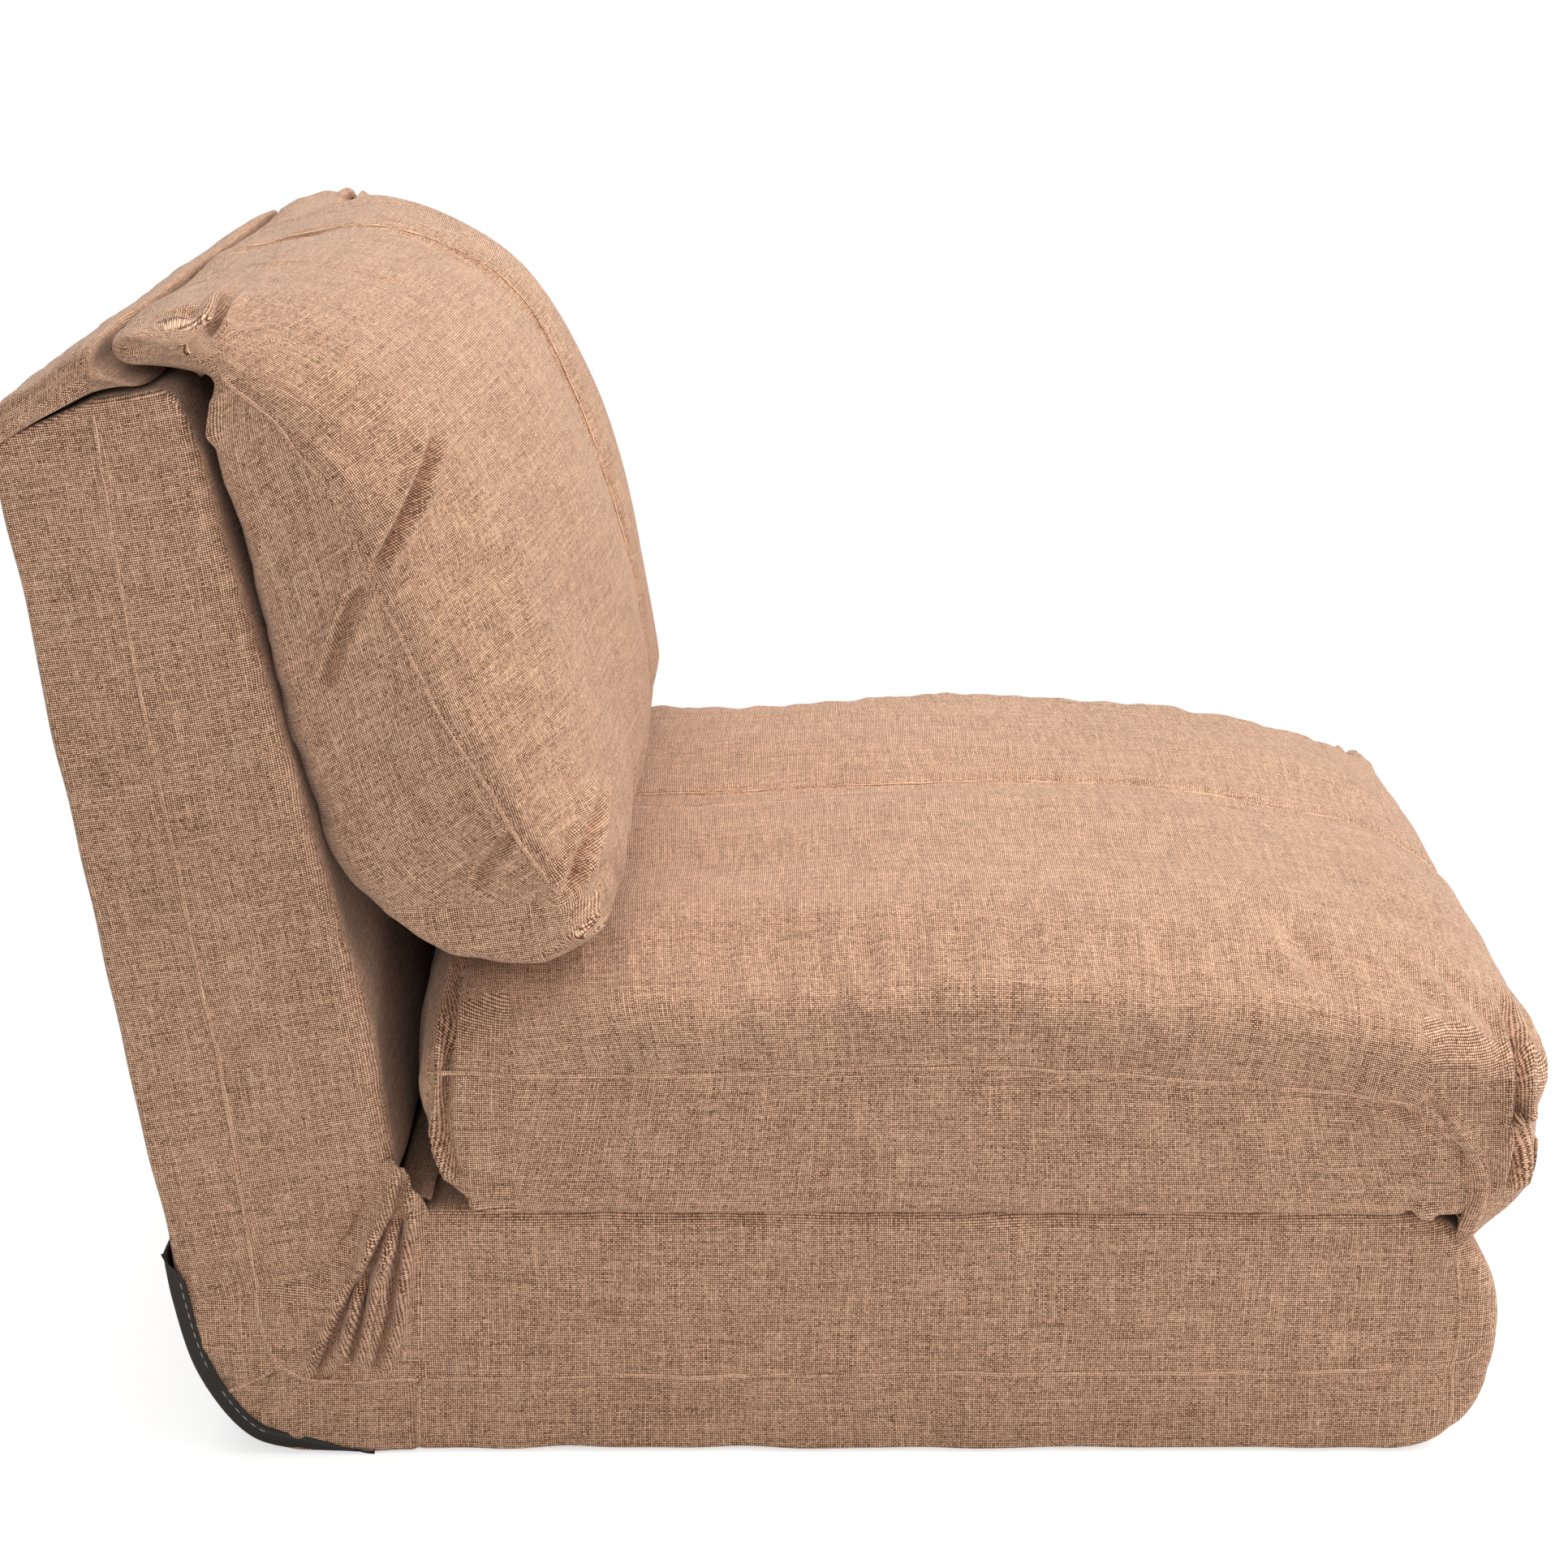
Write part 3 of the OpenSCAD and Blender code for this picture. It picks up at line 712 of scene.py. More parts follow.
# Seat cushion.
seat_ctrl = at((477.1, 269.4), (465.5, 221.5), (460.9, 178.9), (425, 168), (330, 167.5),
               (150, 167.5), (-40, 167.5), (-180, 168.5), (-222.8, 179), (-241.7, 214.5),
               (-245, 262), (-234.4, 298.3), (-213.3, 318), (-149.5, 326), (-19.9, 334.2),
               (130.1, 342.6), (271.3, 334.2), (374, 317.9), (437.2, 299.3))
seat_loop = even(catmull(seat_ctrl, closed=True), 270, closed=True)
seat_loop[:, 1] = np.maximum(BASE_H + 0.4, seat_loop[:, 1])
seat_core = np.stack([SEAT_MID + 0.93 * (seat_loop[:, 0] - SEAT_MID),
                      seat_seam_z(seat_loop[:, 0])], 1)
seat_full = 14 - 10.2 * np.clip((seat_loop[:, 1] - 262) / 46, 0, 1) \
    + 26 * smooth(200, 172, seat_loop[:, 1])
for reach, end in ((np.clip((seat_loop[:, 0] - 396) / 50, 0, 1), 2.42),
                   (np.clip((-194 - seat_loop[:, 0]) / 40, 0, 1), 2.58)):
    seat_full = seat_full + (end - seat_full) * 0.8 * reach
seat_dip = 0.05 * smooth(262, 290, seat_loop[:, 1])


def near_side(y):
    return smooth(HALF_W - 110, HALF_W - 30, np.abs(y))


def seat_flat(c):
    return (np.abs(c[:, 1]) > HALF_W - 26) & (np.abs(c[:, 0] - SEAT_MID) > 284)


seat_rows = pillow_rows(seat_loop, seat_core, seat_full, HALF_W, seat_dip, 70)
# The sides hang a little over the base's rounded edge.
seat_rows[..., 2] -= 5 * smooth(HALF_W - 24, HALF_W - 6, np.abs(seat_rows[..., 1])) \
    * smooth(225, 172, seat_rows[..., 2])
seat = sheet("seat_pad", seat_rows, UPHOLSTERY, flat=seat_flat)
seat_start = points_of(seat.data)
inflate(seat, 4, (np.abs(seat_start[:, 1]) > HALF_W - 20) | (seat_start[:, 2] < 172))
fine(seat)

# Folds of the seat cushion's side, as lines on the side plane.
ROLL = at((406, 232), (419, 217), (428, 200), (430, 182), (426, 162), (421, 144))
PINCH = at((452, 291), (453, 273), (451, 251), (452, 222), (450, 193), (447, 178))
REAR_CREASE = at((-199, 322), (-209, 308), (-213, 292), (-215, 262), (-217, 228), (-213, 205),
                 (-207, 180))
TUCKS = [(at((383, 168), (392, 160), (404, 158)), 4.0, 6.0),
         (at((360, 246), (384, 233), (404, 219), (417, 204)), 4.0, 2.5),
         (at((392, 246), (410, 226), (421, 205)), 3.0, 3.0),
         (at((-204, 176), (-190, 172), (-172, 171)), 3.0, 3.0)]


def fold(q, line, width, depth, rim=0.5, one_side=0.0, fade=0.12):
    """A crease along a line: a groove with a raised rim. one_side lifts the rim on one side."""
    d, t = to_line(q, catmull(line, fine=8))
    ends = smooth(0, fade, t) * smooth(0, fade, 1 - t)
    groove = np.exp(-(d / width) ** 2)
    rims = np.exp(-((np.abs(d) - 2.1 * width) / (1.1 * width)) ** 2)
    rims = rims * (1 + one_side * np.sign(d))
    return ends * depth * (rim * rims - groove)


def seat_relief(co, n):
    q = co[:, [0, 2]]
    side = near_side(co[:, 1])
    top = smooth(0.1, 0.6, n[:, 2])
    h = 1.8 * waves(co, 150, 3) * top
    calm = smooth(174, 200, q[:, 1])
    h += side * calm * (1.2 * waves(q, 70, 4) + 0.5 * waves(q * np.array([1, 0.4]), 26, 5))
    h += side * fold(q, PINCH, 3.0, 8, rim=0.8)
    h += side * fold(q, REAR_CREASE, 2.8, 10, rim=0.6, one_side=-0.7)
    # The rear panel's end lies lower than the side panel that laps over it.
    d = to_line(q, catmull(REAR_CREASE, fine=8))[0]
    h -= side * 5.0 * smooth(0, -5, d) * smooth(60, 40, np.abs(q[:, 0] + 229))
    for line, width, depth in TUCKS:
        h += side * fold(q, line, width, depth, rim=0.7)
    seam_d = q[:, 1] - seat_seam_z(q[:, 0])
    # Small puckers that run down and up from the side seam.
    pucker = puckers(q[:, 0], 6.1, 61, swing=2.2, wide=0.7, pitch=15)
    h += side * 0.42 * pucker * np.exp(-(seam_d / 22) ** 2)
    h += side * (2.0 * smooth(-4, -22, seam_d) * smooth(-92, -60, seam_d)
                 - 1.2 * np.exp(-((seam_d + 1) / 7) ** 2))
    facing = smooth(-0.3, 0.1, n[:, 2] + 0.5 * n[:, 0])
    return h + facing * middle_channel(co[:, 1], co[:, 0])


relief(seat, seat_relief)
own(seat, "base", stands_for=["seat_cushion"])


def tube(name, path, radius, squash, material=UPHOLSTERY):
    """A soft rolled edge that hangs free along a path in space."""
    path = np.array(path, float)
    path = even(catmull(path), max(6, int(length_along(path)[-1] / 2.5)))
    ahead = unit(np.gradient(path, axis=0))
    aside = unit(np.cross(ahead, (0, 1, 0)))
    out = np.cross(aside, ahead)
    run = length_along(path)
    size = radius * np.minimum(1, 0.35 + np.minimum(run, run[-1] - run) / 9)
    size *= 1 + 0.10 * np.sin(run / 5.3) + 0.06 * np.sin(run / 2.1)
    a = np.linspace(0, 2 * math.pi, 14, endpoint=False)
    rows = [[p + k * (u * math.cos(t) + squash * v * math.sin(t)) for t in a]
            for p, u, v, k in zip(path, aside, out, size)]
    return sheet(name, rows, material)


SEAT_SEAM = at((-238, 261), (-216, 261), (-140, 259), (-39, 260), (61, 264), (162, 263),
               (263, 254), (313, 249), (347, 246), (372, 242), (392, 238), (404, 233))
for side, word in SIDES:
    strip = rail(f"seat_side_seam_{word}", seat, beside(SEAT_SEAM, side, 1), 3.0, 1.1)
    own(strip, "base")
    roll = tube(f"seat_corner_roll_{word}",
                [(x, side * (HALF_W - out), z) for (x, z), out in
                 zip(ROLL, (4.0, 0.5, -1.0, -0.5, 1.5, 5.0))], 6.2, 0.9)
    own(roll, "base")
top_line = at((-243, 285), (-225, 318), (-170, 328), (-60, 336), (60, 340), (180, 338),
              (290, 326), (370, 312), (435, 292), (468, 262), (462, 215))
for side, word in SIDES:
    strip = rail(f"seat_middle_seam_{word}", seat, across_at(top_line, side * MIDDLE_SEAM),
                 2.6, 0.7)
    own(strip, "base")

# Back cushion.
pad_ctrl = at((-399, 699.9), (-367.9, 694.8), (-340.8, 690.1), (-341, 638.9), (-318.2, 550.2),
              (-304.1, 467.2), (-274.8, 379.7), (-219.1, 336), (-158.3, 329.1), (-106.9, 352.4),
              (-102.7, 406), (-112.1, 499.4), (-141.9, 612.5), (-190.8, 695.6), (-252.1, 735.8),
              (-309.4, 742.8), (-357.8, 726), (-398.3, 717.5))
PAD_SEAM = at((-336, 699), (-331, 693), (-317, 680), (-303, 668), (-290, 649), (-276, 633),
              (-262, 605), (-251, 574), (-240, 552), (-213, 492), (-185, 446), (-166, 410),
              (-152, 390), (-142, 377))
SEAM_A, SEAM_B = at((-352.0, 708.0), (-132.0, 352.0))


def on_seam(p):
    """The place on the side seam's line that is level with each point."""
    line = np.vstack([SEAM_A, PAD_SEAM[1:], SEAM_B])
    d = SEAM_B - SEAM_A
    along = (line - SEAM_A) @ d
    u = np.clip((p - SEAM_A) @ d, 0, d @ d)
    return np.stack([np.interp(u, along, line[:, k]) for k in (0, 1)], 1)


pad_loop = even(catmull(pad_ctrl, closed=True), 280, closed=True)
pad_core = on_seam(pad_loop)
front = np.clip(((pad_loop - pad_core) @ np.array([0.87, 0.49]) + 25) / 50, 0, 1)
pad_dip = 0.08 * front * smooth(370, 440, pad_loop[:, 1]) * smooth(-403, -364, pad_loop[:, 0])


def back_flat(c):
    return (np.abs(c[:, 1]) > HALF_W - 30) & ((c[:, 2] < 372) | (c[:, 2] > 722))


def back_map(p):
    q = unleaned(p[..., [0, 2]])
    return q[..., 0], q[..., 1]


pad = sheet("back_pad_cushion", pillow_rows(pad_loop, pad_core, 14 - 12 * front, HALF_W - 2,
                                            pad_dip, 70),
            UPHOLSTERY, flat=back_flat, flat_map=back_map)
pad_start = points_of(pad.data)
inflate(pad, 4, (np.abs(pad_start[:, 1]) > HALF_W - 20)
        | ((pad_start[:, 0] < -335) & (pad_start[:, 2] < 712)) | (pad_start[:, 2] < 345))
fine(pad)

PAD_CREASES = [(at((-214, 654), (-226, 622), (-240, 594), (-250, 578)), 3.2, 7.5),
               (at((-254, 572), (-265, 550), (-280, 508)), 3.4, 6.5),
               (at((-166, 418), (-181, 404), (-194, 382)), 3.4, 4.5),
               (at((-116, 432), (-128, 404), (-136, 384), (-146, 374)), 3.6, 7.5),
               (at((-335, 742), (-339, 725), (-340, 706), (-343, 676), (-346, 650)), 3.4, 9.0),
               (at((-392, 712), (-366, 716), (-345, 728)), 4.0, 2.5),
               (at((-300, 612), (-306, 580), (-305, 548)), 6.0, 1.6),
               (at((-236, 404), (-214, 386), (-196, 360)), 6.0, 1.8)]


def pad_relief(co, n):
    q = co[:, [0, 2]]
    side = near_side(co[:, 1])
    h = 1.8 * waves(co, 150, 13)
    h += side * (1.2 * waves(q, 70, 14) + 0.5 * waves(q, 26, 15))
    for line, width, depth in PAD_CREASES:
        h += side * fold(q, line, width, depth, rim=0.7)
    d, t = to_line(q, catmull(PAD_SEAM, fine=6))
    along = smooth(0, 0.04, t) * smooth(0, 0.04, 1 - t)
    h -= side * 1.0 * np.exp(-(d / 5) ** 2)
    h += side * along * 0.9 * np.exp(-((d - 10) / 3.5) ** 2)
    pucker = np.sin(t * 71 + 2 * np.sin(t * 19))
    h += side * 0.35 * pucker * np.exp(-(d / 16) ** 2)
    facing = smooth(0.0, 0.3, n[:, 0] * 0.8 + n[:, 2] * 0.5)
    return h + facing * middle_channel(co[:, 1], co[:, 2])


relief(pad, pad_relief)
for side in (-1, 1):
    for end in (SEAM_A, SEAM_B):
        soften(pad, (end[0], side * (HALF_W - 4), end[1]), 32)
own(pad, "back_pad", stands_for=["back_cushion"])
for side, word in SIDES:
    strip = rail(f"pad_side_seam_{word}", pad, beside(PAD_SEAM, side, 0), 3.0, 1.2)
    own(strip, "back_pad")
pad_line = at((-396, 716), (-365, 730), (-310, 744), (-250, 738), (-190, 702), (-145, 620),
              (-116, 500), (-108, 420), (-112, 372))
for side, word in SIDES:
    strip = rail(f"pad_middle_seam_{word}", pad, across_at(pad_line, side * MIDDLE_SEAM),
                 2.6, 0.7)
    own(strip, "back_pad")


# Padded slabs.
def inset(loop, d):
    """The closed loop drawn in by d."""
    t = unit(np.roll(loop, -1, 0) - np.roll(loop, 1, 0))
    return loop + d * np.stack([-t[:, 1], t[:, 0]], 1)


def slab_rows(loop, core, half, soft, radius=14.0, crown=1.6, across=64, around=6, inward=30):
    """Rows of a padded slab with softly crowned sides.

    soft is the share of the edge radius that each point of the outline is drawn in by.
    """
    rows = []
    for y in np.linspace(0, half - radius, across // 2 + 1):
        rows.append((loop, y))
    for a in np.linspace(0, math.pi / 2, around + 1)[1:]:
        rows.append((inset(loop, radius * soft[:, None] * (1 - math.cos(a))),
                     half - crown - radius + radius * math.sin(a)))
    rim = inset(loop, radius * soft[:, None])
    for s in np.linspace(0, 1, inward + 1)[1:]:
        q = core + (rim - core) * (1 - s * 0.97)
        rows.append((q, half - crown + crown * math.sin(min(1, s * 1.3) * math.pi / 2)))
    rows = [across_at(q, y) for q, y in rows]
    return [r * MIRROR for r in rows[:0:-1]] + rows


def inside_polygon(q, polygon):
    hit = np.zeros(len(q), bool)
    polygon = np.array(polygon, float)
    for a, b in zip(polygon, np.roll(polygon, -1, 0)):
        crosses = (a[1] > q[:, 1]) != (b[1] > q[:, 1])
        with np.errstate(divide="ignore", invalid="ignore"):
            x = (b[0] - a[0]) * (q[:, 1] - a[1]) / (b[1] - a[1]) + a[0]
        hit ^= crosses & (q[:, 0] < x)
    return hit


# Base cover.
angle = np.radians(np.linspace(-90, 90, 90))
base_mid = BASE_H / 2
base_outline = np.vstack([
    [[BASE_REAR, 0]],
    np.stack([FRONT_CENTRE + (BASE_FRONT - FRONT_CENTRE)
              * np.cos(angle).clip(0) ** np.where(angle > 0, 1.1, 0.8),
              base_mid + base_mid * power(np.sin(angle), 0.8)], 1),
    [[HINGE[0] + 41, BASE_H], [HINGE[0] + 16, HINGE[1] + 22], [HINGE[0] + 14, HINGE[1] - 10]]])
SLAB_POINTS = 460
CORE_REAR, CORE_FRONT = -253, 392
base_loop = even(base_outline, SLAB_POINTS, closed=True)
base_core = np.stack([np.clip(base_loop[:, 0], CORE_REAR, CORE_FRONT),
                      np.full(SLAB_POINTS, BASE_SEAM)], 1)
base_soft = 1 - 0.75 * smooth(40, 0, base_loop[:, 1])
base_mouth = [(BASE_REAR - 60, 3), (BASE_REAR + 24, 3), (HINGE[0] + 39, HINGE[1] - 12),
              (HINGE[0] + 39, HINGE[1] + 16), (HINGE[0] + 67, BASE_H + 20),
              (HINGE[0] - 60, BASE_H + 20)]
# Pleats of the side cloth over the hinge: the slab's lap, the middle one and the base's edge.
LAP = at((-236, 218), (-243, 192), (-251, 167), (-259, 149), (-273, 125), (-286, 96),
         (-297, 73), (-307, 54))
PLEAT = at((-256, 158), (-265, 133), (-271, 110), (-276, 87), (-283, 62))
LAST_PLEAT = at((-243, 176), (-248, 150), (-252, 122), (-256, 96), (-262, 74), (-268, 56))


def side_face(c):
    return np.abs(c[:, 1]) > HALF_W - 9


def slab_side(y):
    return smooth(HALF_W - 22, HALF_W - 6, np.abs(y))


base = sheet("base_cover", slab_rows(base_loop, base_core, HALF_W, base_soft), UPHOLSTERY,
             flat=side_face, hole=lambda c: inside_polygon(c[:, [0, 2]], base_mouth))
BASE_SIDE_SEAM = at((-238, 51), (-144, 53), (12, 54), (167, 55), (322, 57), (405, 60), (430, 64),
                    (441, 74))
FRONT_SEAM_X = 418.0
BASE_FRONT_SEAM = at((420, 138), (423, 102), (422, 51), (423, 4))
BAND_END = at((-240, 50), (-241, 26), (-242, 3))


def base_relief(co, n):
    q = co[:, [0, 2]]
    side = slab_side(co[:, 1])
    d = q[:, 1] - BASE_SEAM
    lap = np.exp(-(d / 6) ** 2)
    h = side - 0.8 * lap * (side + (1 - side) * smooth(0.3, 0.8, n[:, 0]))
    h += side * (0.9 * waves(q, 70, 23) + 0.5 * waves(q * np.array([1, 0.35]), 20, 24)
                 * smooth(60, 160, q[:, 1]))
    h += side * 0.40 * puckers(q[:, 0], 7.1, 53) * np.exp(-(d / 18) ** 2)
    h -= side * 1.0 * np.exp(-((q[:, 0] - FRONT_SEAM_X) / 5) ** 2)
    # Behind its last pleat and its seam the side lies under the cloth over the hinge.
    behind = to_line(q, catmull(LAST_PLEAT, fine=6))[0]
    h -= side * 4.0 * smooth(-1, -6, behind) * smooth(50, 54, q[:, 1]) \
        * smooth(-243, -250, q[:, 0])
    h -= side * 3.0 * smooth(-245, -249, q[:, 0]) * smooth(56, 52, q[:, 1])
    h += (1 - side) * 1.2 * waves(co, 120, 25) * (n[:, 2] > -0.5)
    return h


relief(base, base_relief)
drop_loose(base)
thicken(base, CLOTH_T)
own(base, "base", stands_for=["base_cover_lower", "base_cover_upper"])
for side, word in SIDES:
    for part, line in (("side_seam", BASE_SIDE_SEAM), ("front_seam", BASE_FRONT_SEAM),
                       ("band_end_seam", BAND_END)):
        strip = rail(f"base_{part}_{word}", base, beside(line, side, 6), 2.8, 0.8)
        own(strip, "base")
strip = rail("base_front_panel_seam", base,
             [(BASE_FRONT - 4, y, BASE_SEAM) for y in np.linspace(-322, 322, 9)], 2.8, 0.8)
own(strip, "base")

# Back slab, in its own frame.
back_outline = np.array([(-95, 12), (-88, -19), (-14, 0), (9.3, 14.8), (55.5, 79), (58, 106),
                         (58, 150), (57.7, 205), (51, 276), (42.5, 372), (35, 460), (25, 570),
                         (19, 592), (-27, 593.6), (-65, 584), (-88, 577), (-95, 558)], float)
slab_local = even(back_outline, SLAB_POINTS, closed=True)
for _ in range(6):
    slab_local = (np.roll(slab_local, 1, 0) + 2 * slab_local + np.roll(slab_local, -1, 0)) / 4
slab_loop = leaned(slab_local)
BACK_SIDE_SEAM = [(-29, 586), (-30, 562), (-33, 512), (-36, 420), (-37, 337), (-38, 166),
                  (-42, 60), (-44, 14)]
core_z = np.clip(slab_local[:, 1], 40, 556)
seam_x, seam_z = np.array(BACK_SIDE_SEAM[::-1], float).T
slab_core = leaned(np.stack([np.interp(core_z, seam_z, seam_x), core_z], 1))
slab_soft = (1 - 0.65 * smooth(-60, -85, slab_local[:, 0])) \
    * (1 - 0.85 * smooth(545, 575, slab_local[:, 1]))
slab_mouth = leaned([(-BACK_REAR - 20, -40), (0, -40), (90, 60), (90, 84), (46, 84), (2, 34),
                     (-26, 18), (-BACK_REAR + 18, 4), (-BACK_REAR - 20, 4)])
slab = sheet("back_cover", slab_rows(slab_loop, slab_core, HALF_W, slab_soft), UPHOLSTERY,
             flat=side_face, flat_map=back_map,
             hole=lambda c: inside_polygon(c[:, [0, 2]], slab_mouth))
SLAB_SEAM_X = -37.0
REAR_DIMPLE = np.array([SLAB_SEAM_X, 540.0])


def slab_relief(co, n):
    q = unleaned(co[:, [0, 2]])
    side = slab_side(co[:, 1])
    d = q[:, 0] - SLAB_SEAM_X
    h = side - 0.8 * side * np.exp(-(d / 6) ** 2)
    h += side * (1.0 * waves(q, 80, 33) + 0.6 * waves(q * np.array([0.3, 1]), 18, 34)
                 * smooth(-10, 30, q[:, 0]))
    h += side * 0.40 * puckers(q[:, 1], 7.7, 47) * np.exp(-(d / 16) ** 2)
    h -= side * 2.0 * np.exp(-((q - REAR_DIMPLE) ** 2).sum(1) / 60)
    h += (1 - side) * 1.3 * waves(co, 130, 35)
    return h


relief(slab, slab_relief)
drop_loose(slab)
thicken(slab, CLOTH_T)
own(slab, "back", stands_for=["back_cover_rear", "back_cover_front"])
for side, word in SIDES:
    strip = rail(f"back_side_seam_{word}", slab, beside(leaned(BACK_SIDE_SEAM), side, 6),
                 2.8, 0.9)
    own(strip, "back")

# Padded wrap over the top edge of the back.
wrap_ctrl = at((-470, 651), (-440, 667), (-412, 681), (-392, 686), (-376, 688.5), (-389, 693.5),
               (-405, 701), (-406.2, 715.1), (-421.7, 709.2), (-439.6, 694.9), (-462.6, 680.4),
               (-466, 664))
WRAP_POINTS = 90
wrap_loop = even(catmull(wrap_ctrl, closed=True), WRAP_POINTS, closed=True)
wrap_u = np.clip((wrap_loop[:, 0] + 472) / 62, 0, 0.95)
wrap_core = np.stack([-469 + 57 * wrap_u, 660 + 34 * wrap_u], 1)
wrap = sheet("top_wrap", pillow_rows(wrap_loop, wrap_core, np.full(WRAP_POINTS, 11.0),
                                     HALF_W + 0.6, np.zeros(WRAP_POINTS), 60, nub=0.1),
             UPHOLSTERY)
relief(wrap, lambda co, n: 0.8 * waves(co, 50, 43))
own(wrap, "back", stands_for=["back_top_wrap"])

# Strip that sews the seat cushion to the base.
strip_line = even(catmull([(424, 144.6), (437, 155), (452.5, 167), (462.3, 183), (463.4, 206)]),
                  16)
rows = [[(x + 1.2 * math.sin(y / 41) * math.sin(k / 3), y, z) for k, (x, z) in
         enumerate(strip_line)] for y in np.linspace(24 - HALF_W, HALF_W - 24, 160)]
front_strip = sheet("seat_front_strip_cloth", rows, UPHOLSTERY, closed=False)
thicken(front_strip, 2.0)
own(front_strip, "base", stands_for=["seat_front_strip"])

# Corners of that strip, which turn from its ends to the rolled edges on the sides.
left_line = even(catmull(ROLL), 30)
right_line = even(catmull(np.vstack([[464, 236], strip_line[::-1]])), 30)
for side, word in SIDES:
    rows = []
    for t in np.linspace(0, 1, 18):
        q = left_line + (right_line - left_line) * t
        y = HALF_W - 3.5 - 24 * (1 - math.sqrt(1 - t * t)) + 0.7 * math.sin(9 * t)
        rows.append(across_at(q, side * y))
    turned = sheet(f"seat_front_corner_{word}", rows[::side], UPHOLSTERY, closed=False)
    thicken(turned, 1.6)
    own(turned, "base")


# Cloth over the hinges.
def side_cloth(name, top, low, side, height, lift, across=110, down=70):
    """A piece of the side between two lines, raised by height(points) over the side plane."""
    top, low = even(catmull(top), across), even(catmull(low), across)
    t = np.linspace(0, 1, down)[:, None, None]
    q = top[None] * (1 - t) + low[None] * t
    out = height(q.reshape(-1, 2)).reshape(down, across)
    rows = np.stack([q[..., 0], side * (HALF_W + lift + out), q[..., 1]], -1)
    if side > 0:
        rows = rows[:, ::-1]
    obj = sheet(name, rows, UPHOLSTERY, closed=False, flat=lambda c: np.full(len(c), True))
    thicken(obj, 1.6)
    return obj


PATCH_STEPS = 60
patch_line = even(catmull([(-401.3, 140), (-397.8, 108), (-385, 58), (-359, 17), (-329, 3),
                           (-273, 0.8)]), PATCH_STEPS)


def over_hinge(q):
    lap = -to_line(q, catmull(LAP, fine=8))[0]
    local = unleaned(q)
    h = 0.8 * waves(q, 40, 51) + 0.4 * waves(q, 16, 52)
    # The slab's side laps over the pleats, which lie deeper and turn round the hinge.
    h += 3.6 * smooth(-2, 5, lap) * np.exp(-(lap / 30) ** 2) - 2.4 * smooth(2, -3, lap)
    h += fold(q, LAP, 2.8, 11, rim=0.5)
    h += fold(q, PLEAT, 2.6, 8, rim=1.5)
    h += fold(q, LAST_PLEAT, 2.8, 7, rim=1.3)
    h -= 2.5 * smooth(26, 10, np.abs(to_line(q, patch_line)[0]))
    h -= 6.0 * smooth(-242, -234, q[:, 0])
    h += 1.2 * np.exp(-((lap - 12) / 5) ** 2) * np.sin(local[:, 1] / 9)
    # It tucks under the slab's cover, and stays clear of the foam.
    h -= 7.5 * smooth(26, 10, 20 + (20 - local[:, 1]) * 0.9 + 0.75 * (local[:, 0] + 10).clip(0))
    return np.maximum(h, np.where(q[:, 0] > -243, -9.0, -5.2))


HINGE_TOP = at((-386, 104), (-352, 112), (-322, 124), (-298, 146), (-276, 176), (-257, 201),
               (-244, 196), (-229, 164))
HINGE_LOW = at((-368, 39), (-347, 50), (-329, 61), (-314, 54), (-300, 51), (-285, 50),
               (-230, 51))
BAND_TOP = at((-331, 62), (-318, 57), (-304, 55), (-270, 53), (-241, 52))
BAND_LOW = at((-346, 13), (-330, 5), (-310, 2), (-280, 1.2), (-242, 1.0))
HINGE_SEAM = at((-343, 121), (-337, 86), (-332, 70), (-320, 60), (-307, 54), (-292, 51),
                (-276, 51), (-240, 52))
HINGE_HEM = at((-368, 41), (-347, 51), (-331, 61))
CORNER_TOP = at((-376, 46), (-354, 55), (-326, 70))
CORNER_LOW = at((-366, 37), (-353, 20), (-337, 8))
for side, word in SIDES:
    gusset = side_cloth(f"hinge_cloth_{word}", HINGE_TOP, HINGE_LOW, side, over_hinge, 2.2)
    bend(gusset, stands_for=[f"hinge_gusset_{word}"])
    for part, line in (("seam", HINGE_SEAM), ("hem", HINGE_HEM)):
        strip = rail(f"hinge_{part}_{word}", gusset, beside(line, side, 9), 2.8, 0.9)
        bend(strip)
    band = side_cloth(f"band_rear_{word}", BAND_TOP, BAND_LOW, side,
                      lambda q: 0.8 * waves(q, 34, 55) - 3.0 * smooth(-250, -246, q[:, 0]),
                      -0.4, across=70, down=34)
    own(band, "base")
    corner = side_cloth(f"rear_corner_{word}", CORNER_TOP, CORNER_LOW, side,
                        lambda q: 0.6 * waves(q, 20, 57), -1.6, across=26, down=14)
    own(corner, "base")

# Leatherette patch round the rear bottom corner.
run = unit(np.gradient(patch_line, axis=0))
inward = np.stack([-run[:, 1], run[:, 0]], 1)
# The patch turns in over both sides by this much.
steps = np.arange(PATCH_STEPS)
ear = 11.5 * smooth(0, 6, steps) * smooth(PATCH_STEPS - 1, 44, steps)
rows = []
for a, y in ((1.0, HALF_W + 2.6), (0.6, HALF_W + 3.2), (0.25, HALF_W + 3.0), (0.05, HALF_W + 1.8),
             (0.0, HALF_W - 2.0)):
    rows.append(across_at(patch_line + inward * (a * ear)[:, None], y))
middle = [across_at(patch_line, y) for y in np.linspace(HALF_W - 12, 12 - HALF_W, 60)]
rows = rows + middle + [r * MIRROR for r in rows[::-1]]
patch = sheet("rear_patch", rows, LEATHER, closed=False)
thicken(patch, 1.6)
bend(patch, ["hinge_patch"])


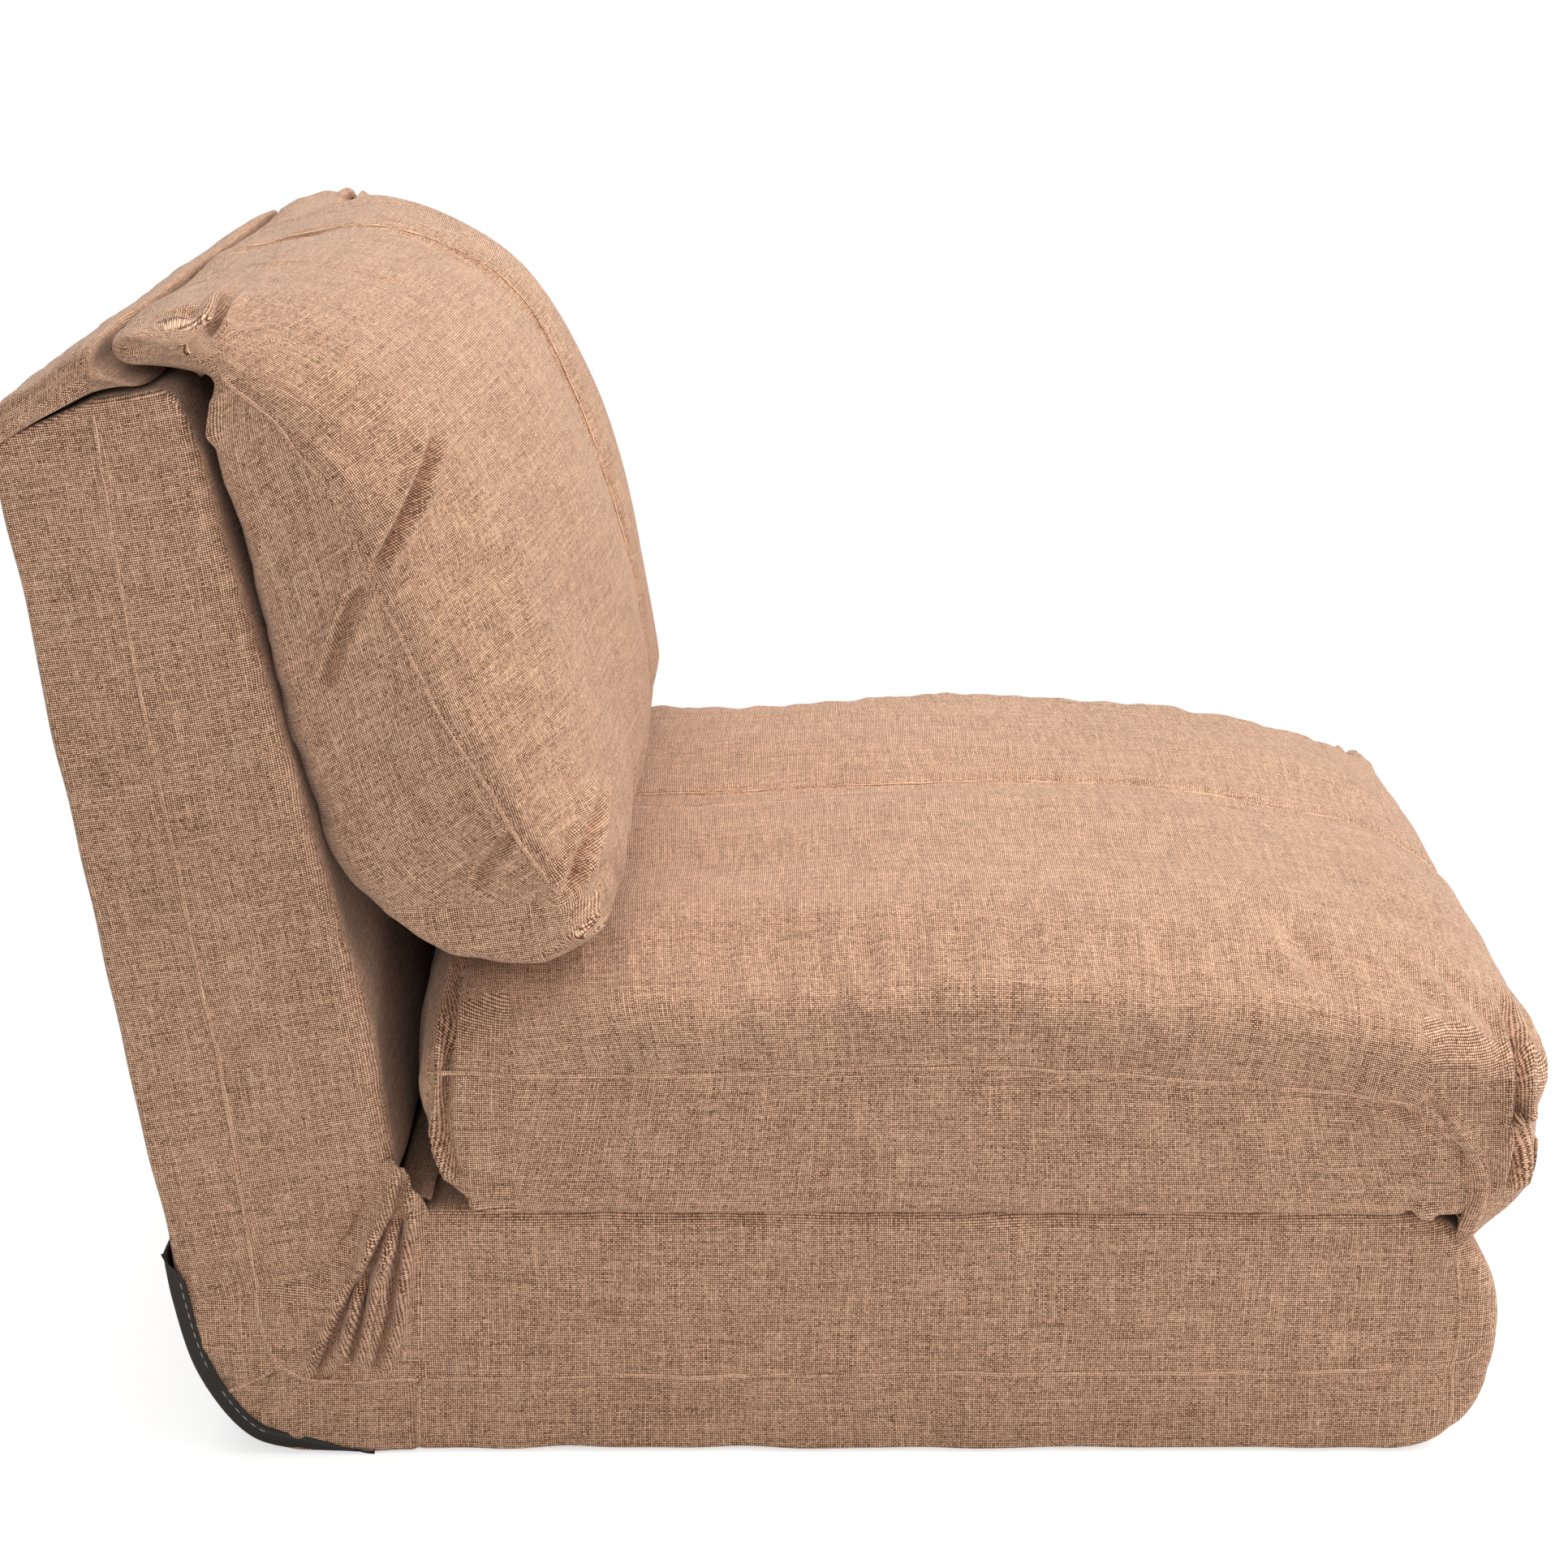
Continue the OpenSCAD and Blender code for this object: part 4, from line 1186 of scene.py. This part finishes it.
def stitches(name, start, end):
    """Thread dashes along both flanges of the patch, from one share of its length to another."""
    edge = patch_line + inward * (ear - 3.0)[:, None]
    edge = edge[int(start * (PATCH_STEPS - 1)):int(end * (PATCH_STEPS - 1)) + 1]
    run = length_along(edge)
    rows = []
    for k, a in enumerate(np.arange(2, run[-1] - 6, 7.0)):
        for side, word in SIDES:
            line = [(np.interp(a + b, run, edge[:, 0]), side * (HALF_W + 3.1),
                     np.interp(a + b, run, edge[:, 1])) for b in np.linspace(0, 4.6, 5)]
            rows.append((f"{name}_{word}_{k}", line))
    return rows


dashes = []
for word, start, end in (("upper", 0.10, 0.42), ("lower", 0.46, 0.72)):
    for name, line in stitches(f"stitch_{word}", start, end):
        dashes.append(tube(name, line, 0.65, 0.6, STITCH))
bpy.ops.object.select_all(action="DESELECT")
for dash in dashes:
    dash.select_set(True)
bpy.context.view_layer.objects.active = dashes[0]
bpy.ops.object.join()
stitching = dashes[0]
stitching.name = "patch_stitching"
bend(stitching)

# Cloth fold in the crease between seat and back.
fold_line = even(catmull(at((-257, 206), (-262, 178), (-266, 158), (-262, 148), (-257, 158),
                            (-251, 172), (-243, 174.4), (-228, 173.6))), 44)
rows = [[(x, y, z) for x, z in fold_line] for y in np.linspace(8 - HALF_W, HALF_W - 8, 80)]
crease = sheet("crease_cloth", rows, UPHOLSTERY, closed=False)
thicken(crease, 1.4)
bend(crease, stands_for=["hinge_fold"])

# Hidden parts keep their CAD shape.
FINISH = {"foam": open_foam(), "frame_paint": powder_coat(), "hinge_steel": zinc_plate()}
for entry in frame["record"]["subparts"]:
    node = frame["nodes"].get(entry["node"])
    finish = FINISH.get(entry["material_slot"])
    if node and finish and node.type == "MESH":
        node.data.materials.clear()
        node.data.materials.append(finish)


# Studio.
def lamp(name, place, target, size, power_w, colour=(1, 1, 1)):
    data = bpy.data.lights.new(name, "AREA")
    data.shape = "RECTANGLE"
    data.size, data.size_y = size
    data.energy = power_w
    data.color = colour
    obj = bpy.data.objects.new(name, data)
    bpy.context.scene.collection.objects.link(obj)
    obj.location = place
    obj.rotation_euler = (Vector(target) - Vector(place)).to_track_quat("-Z", "Y").to_euler()


lamp("key", (1.9, 0.1, 2.3), (0, 0, 0.3), (1.8, 1.8), 54, (1.0, 0.985, 0.96))
lamp("top", (-0.4, 0.6, 2.8), (0, 0, 0.3), (2.4, 2.4), 38)
lamp("fill", (-0.6, -3.0, 1.6), (0, 0, 0.3), (2.2, 1.4), 20)
lamp("front", (2.4, -0.9, 0.6), (0.3, 0, 0.25), (1.4, 1.2), 12)

bpy.ops.mesh.primitive_plane_add(size=16, location=(0, 0, -0.0008))
ground = bpy.context.object
ground.name = "floor"
ground.data.materials.append(floor_paper())

world = bpy.data.worlds.new("studio")
bpy.context.scene.world = world
world.use_nodes = True
world.node_tree.nodes.clear()
w = Tree.of(world.node_tree)
soft = w.node("ShaderNodeBackground", None, (1.0, 0.99, 0.98), 0.36)
white = w.node("ShaderNodeBackground", None, WHITE, 1.0)
seen = w.node("ShaderNodeLightPath")
w.node("ShaderNodeOutputWorld", None, w.node("ShaderNodeMixShader", None, seen, soft, white))

# Camera, as solved from the photograph.
lens = bpy.data.cameras.new("camera")
lens.lens = 71.74
lens.sensor_width = 36
lens.clip_start = 0.05
camera = bpy.data.objects.new("camera", lens)
bpy.context.scene.collection.objects.link(camera)
camera.location = (-0.010, -2.150, 0.9936)
camera.rotation_euler = (math.radians(73.15), 0, 0)
bpy.context.scene.camera = camera
bpy.context.scene.view_settings.view_transform = "Standard"
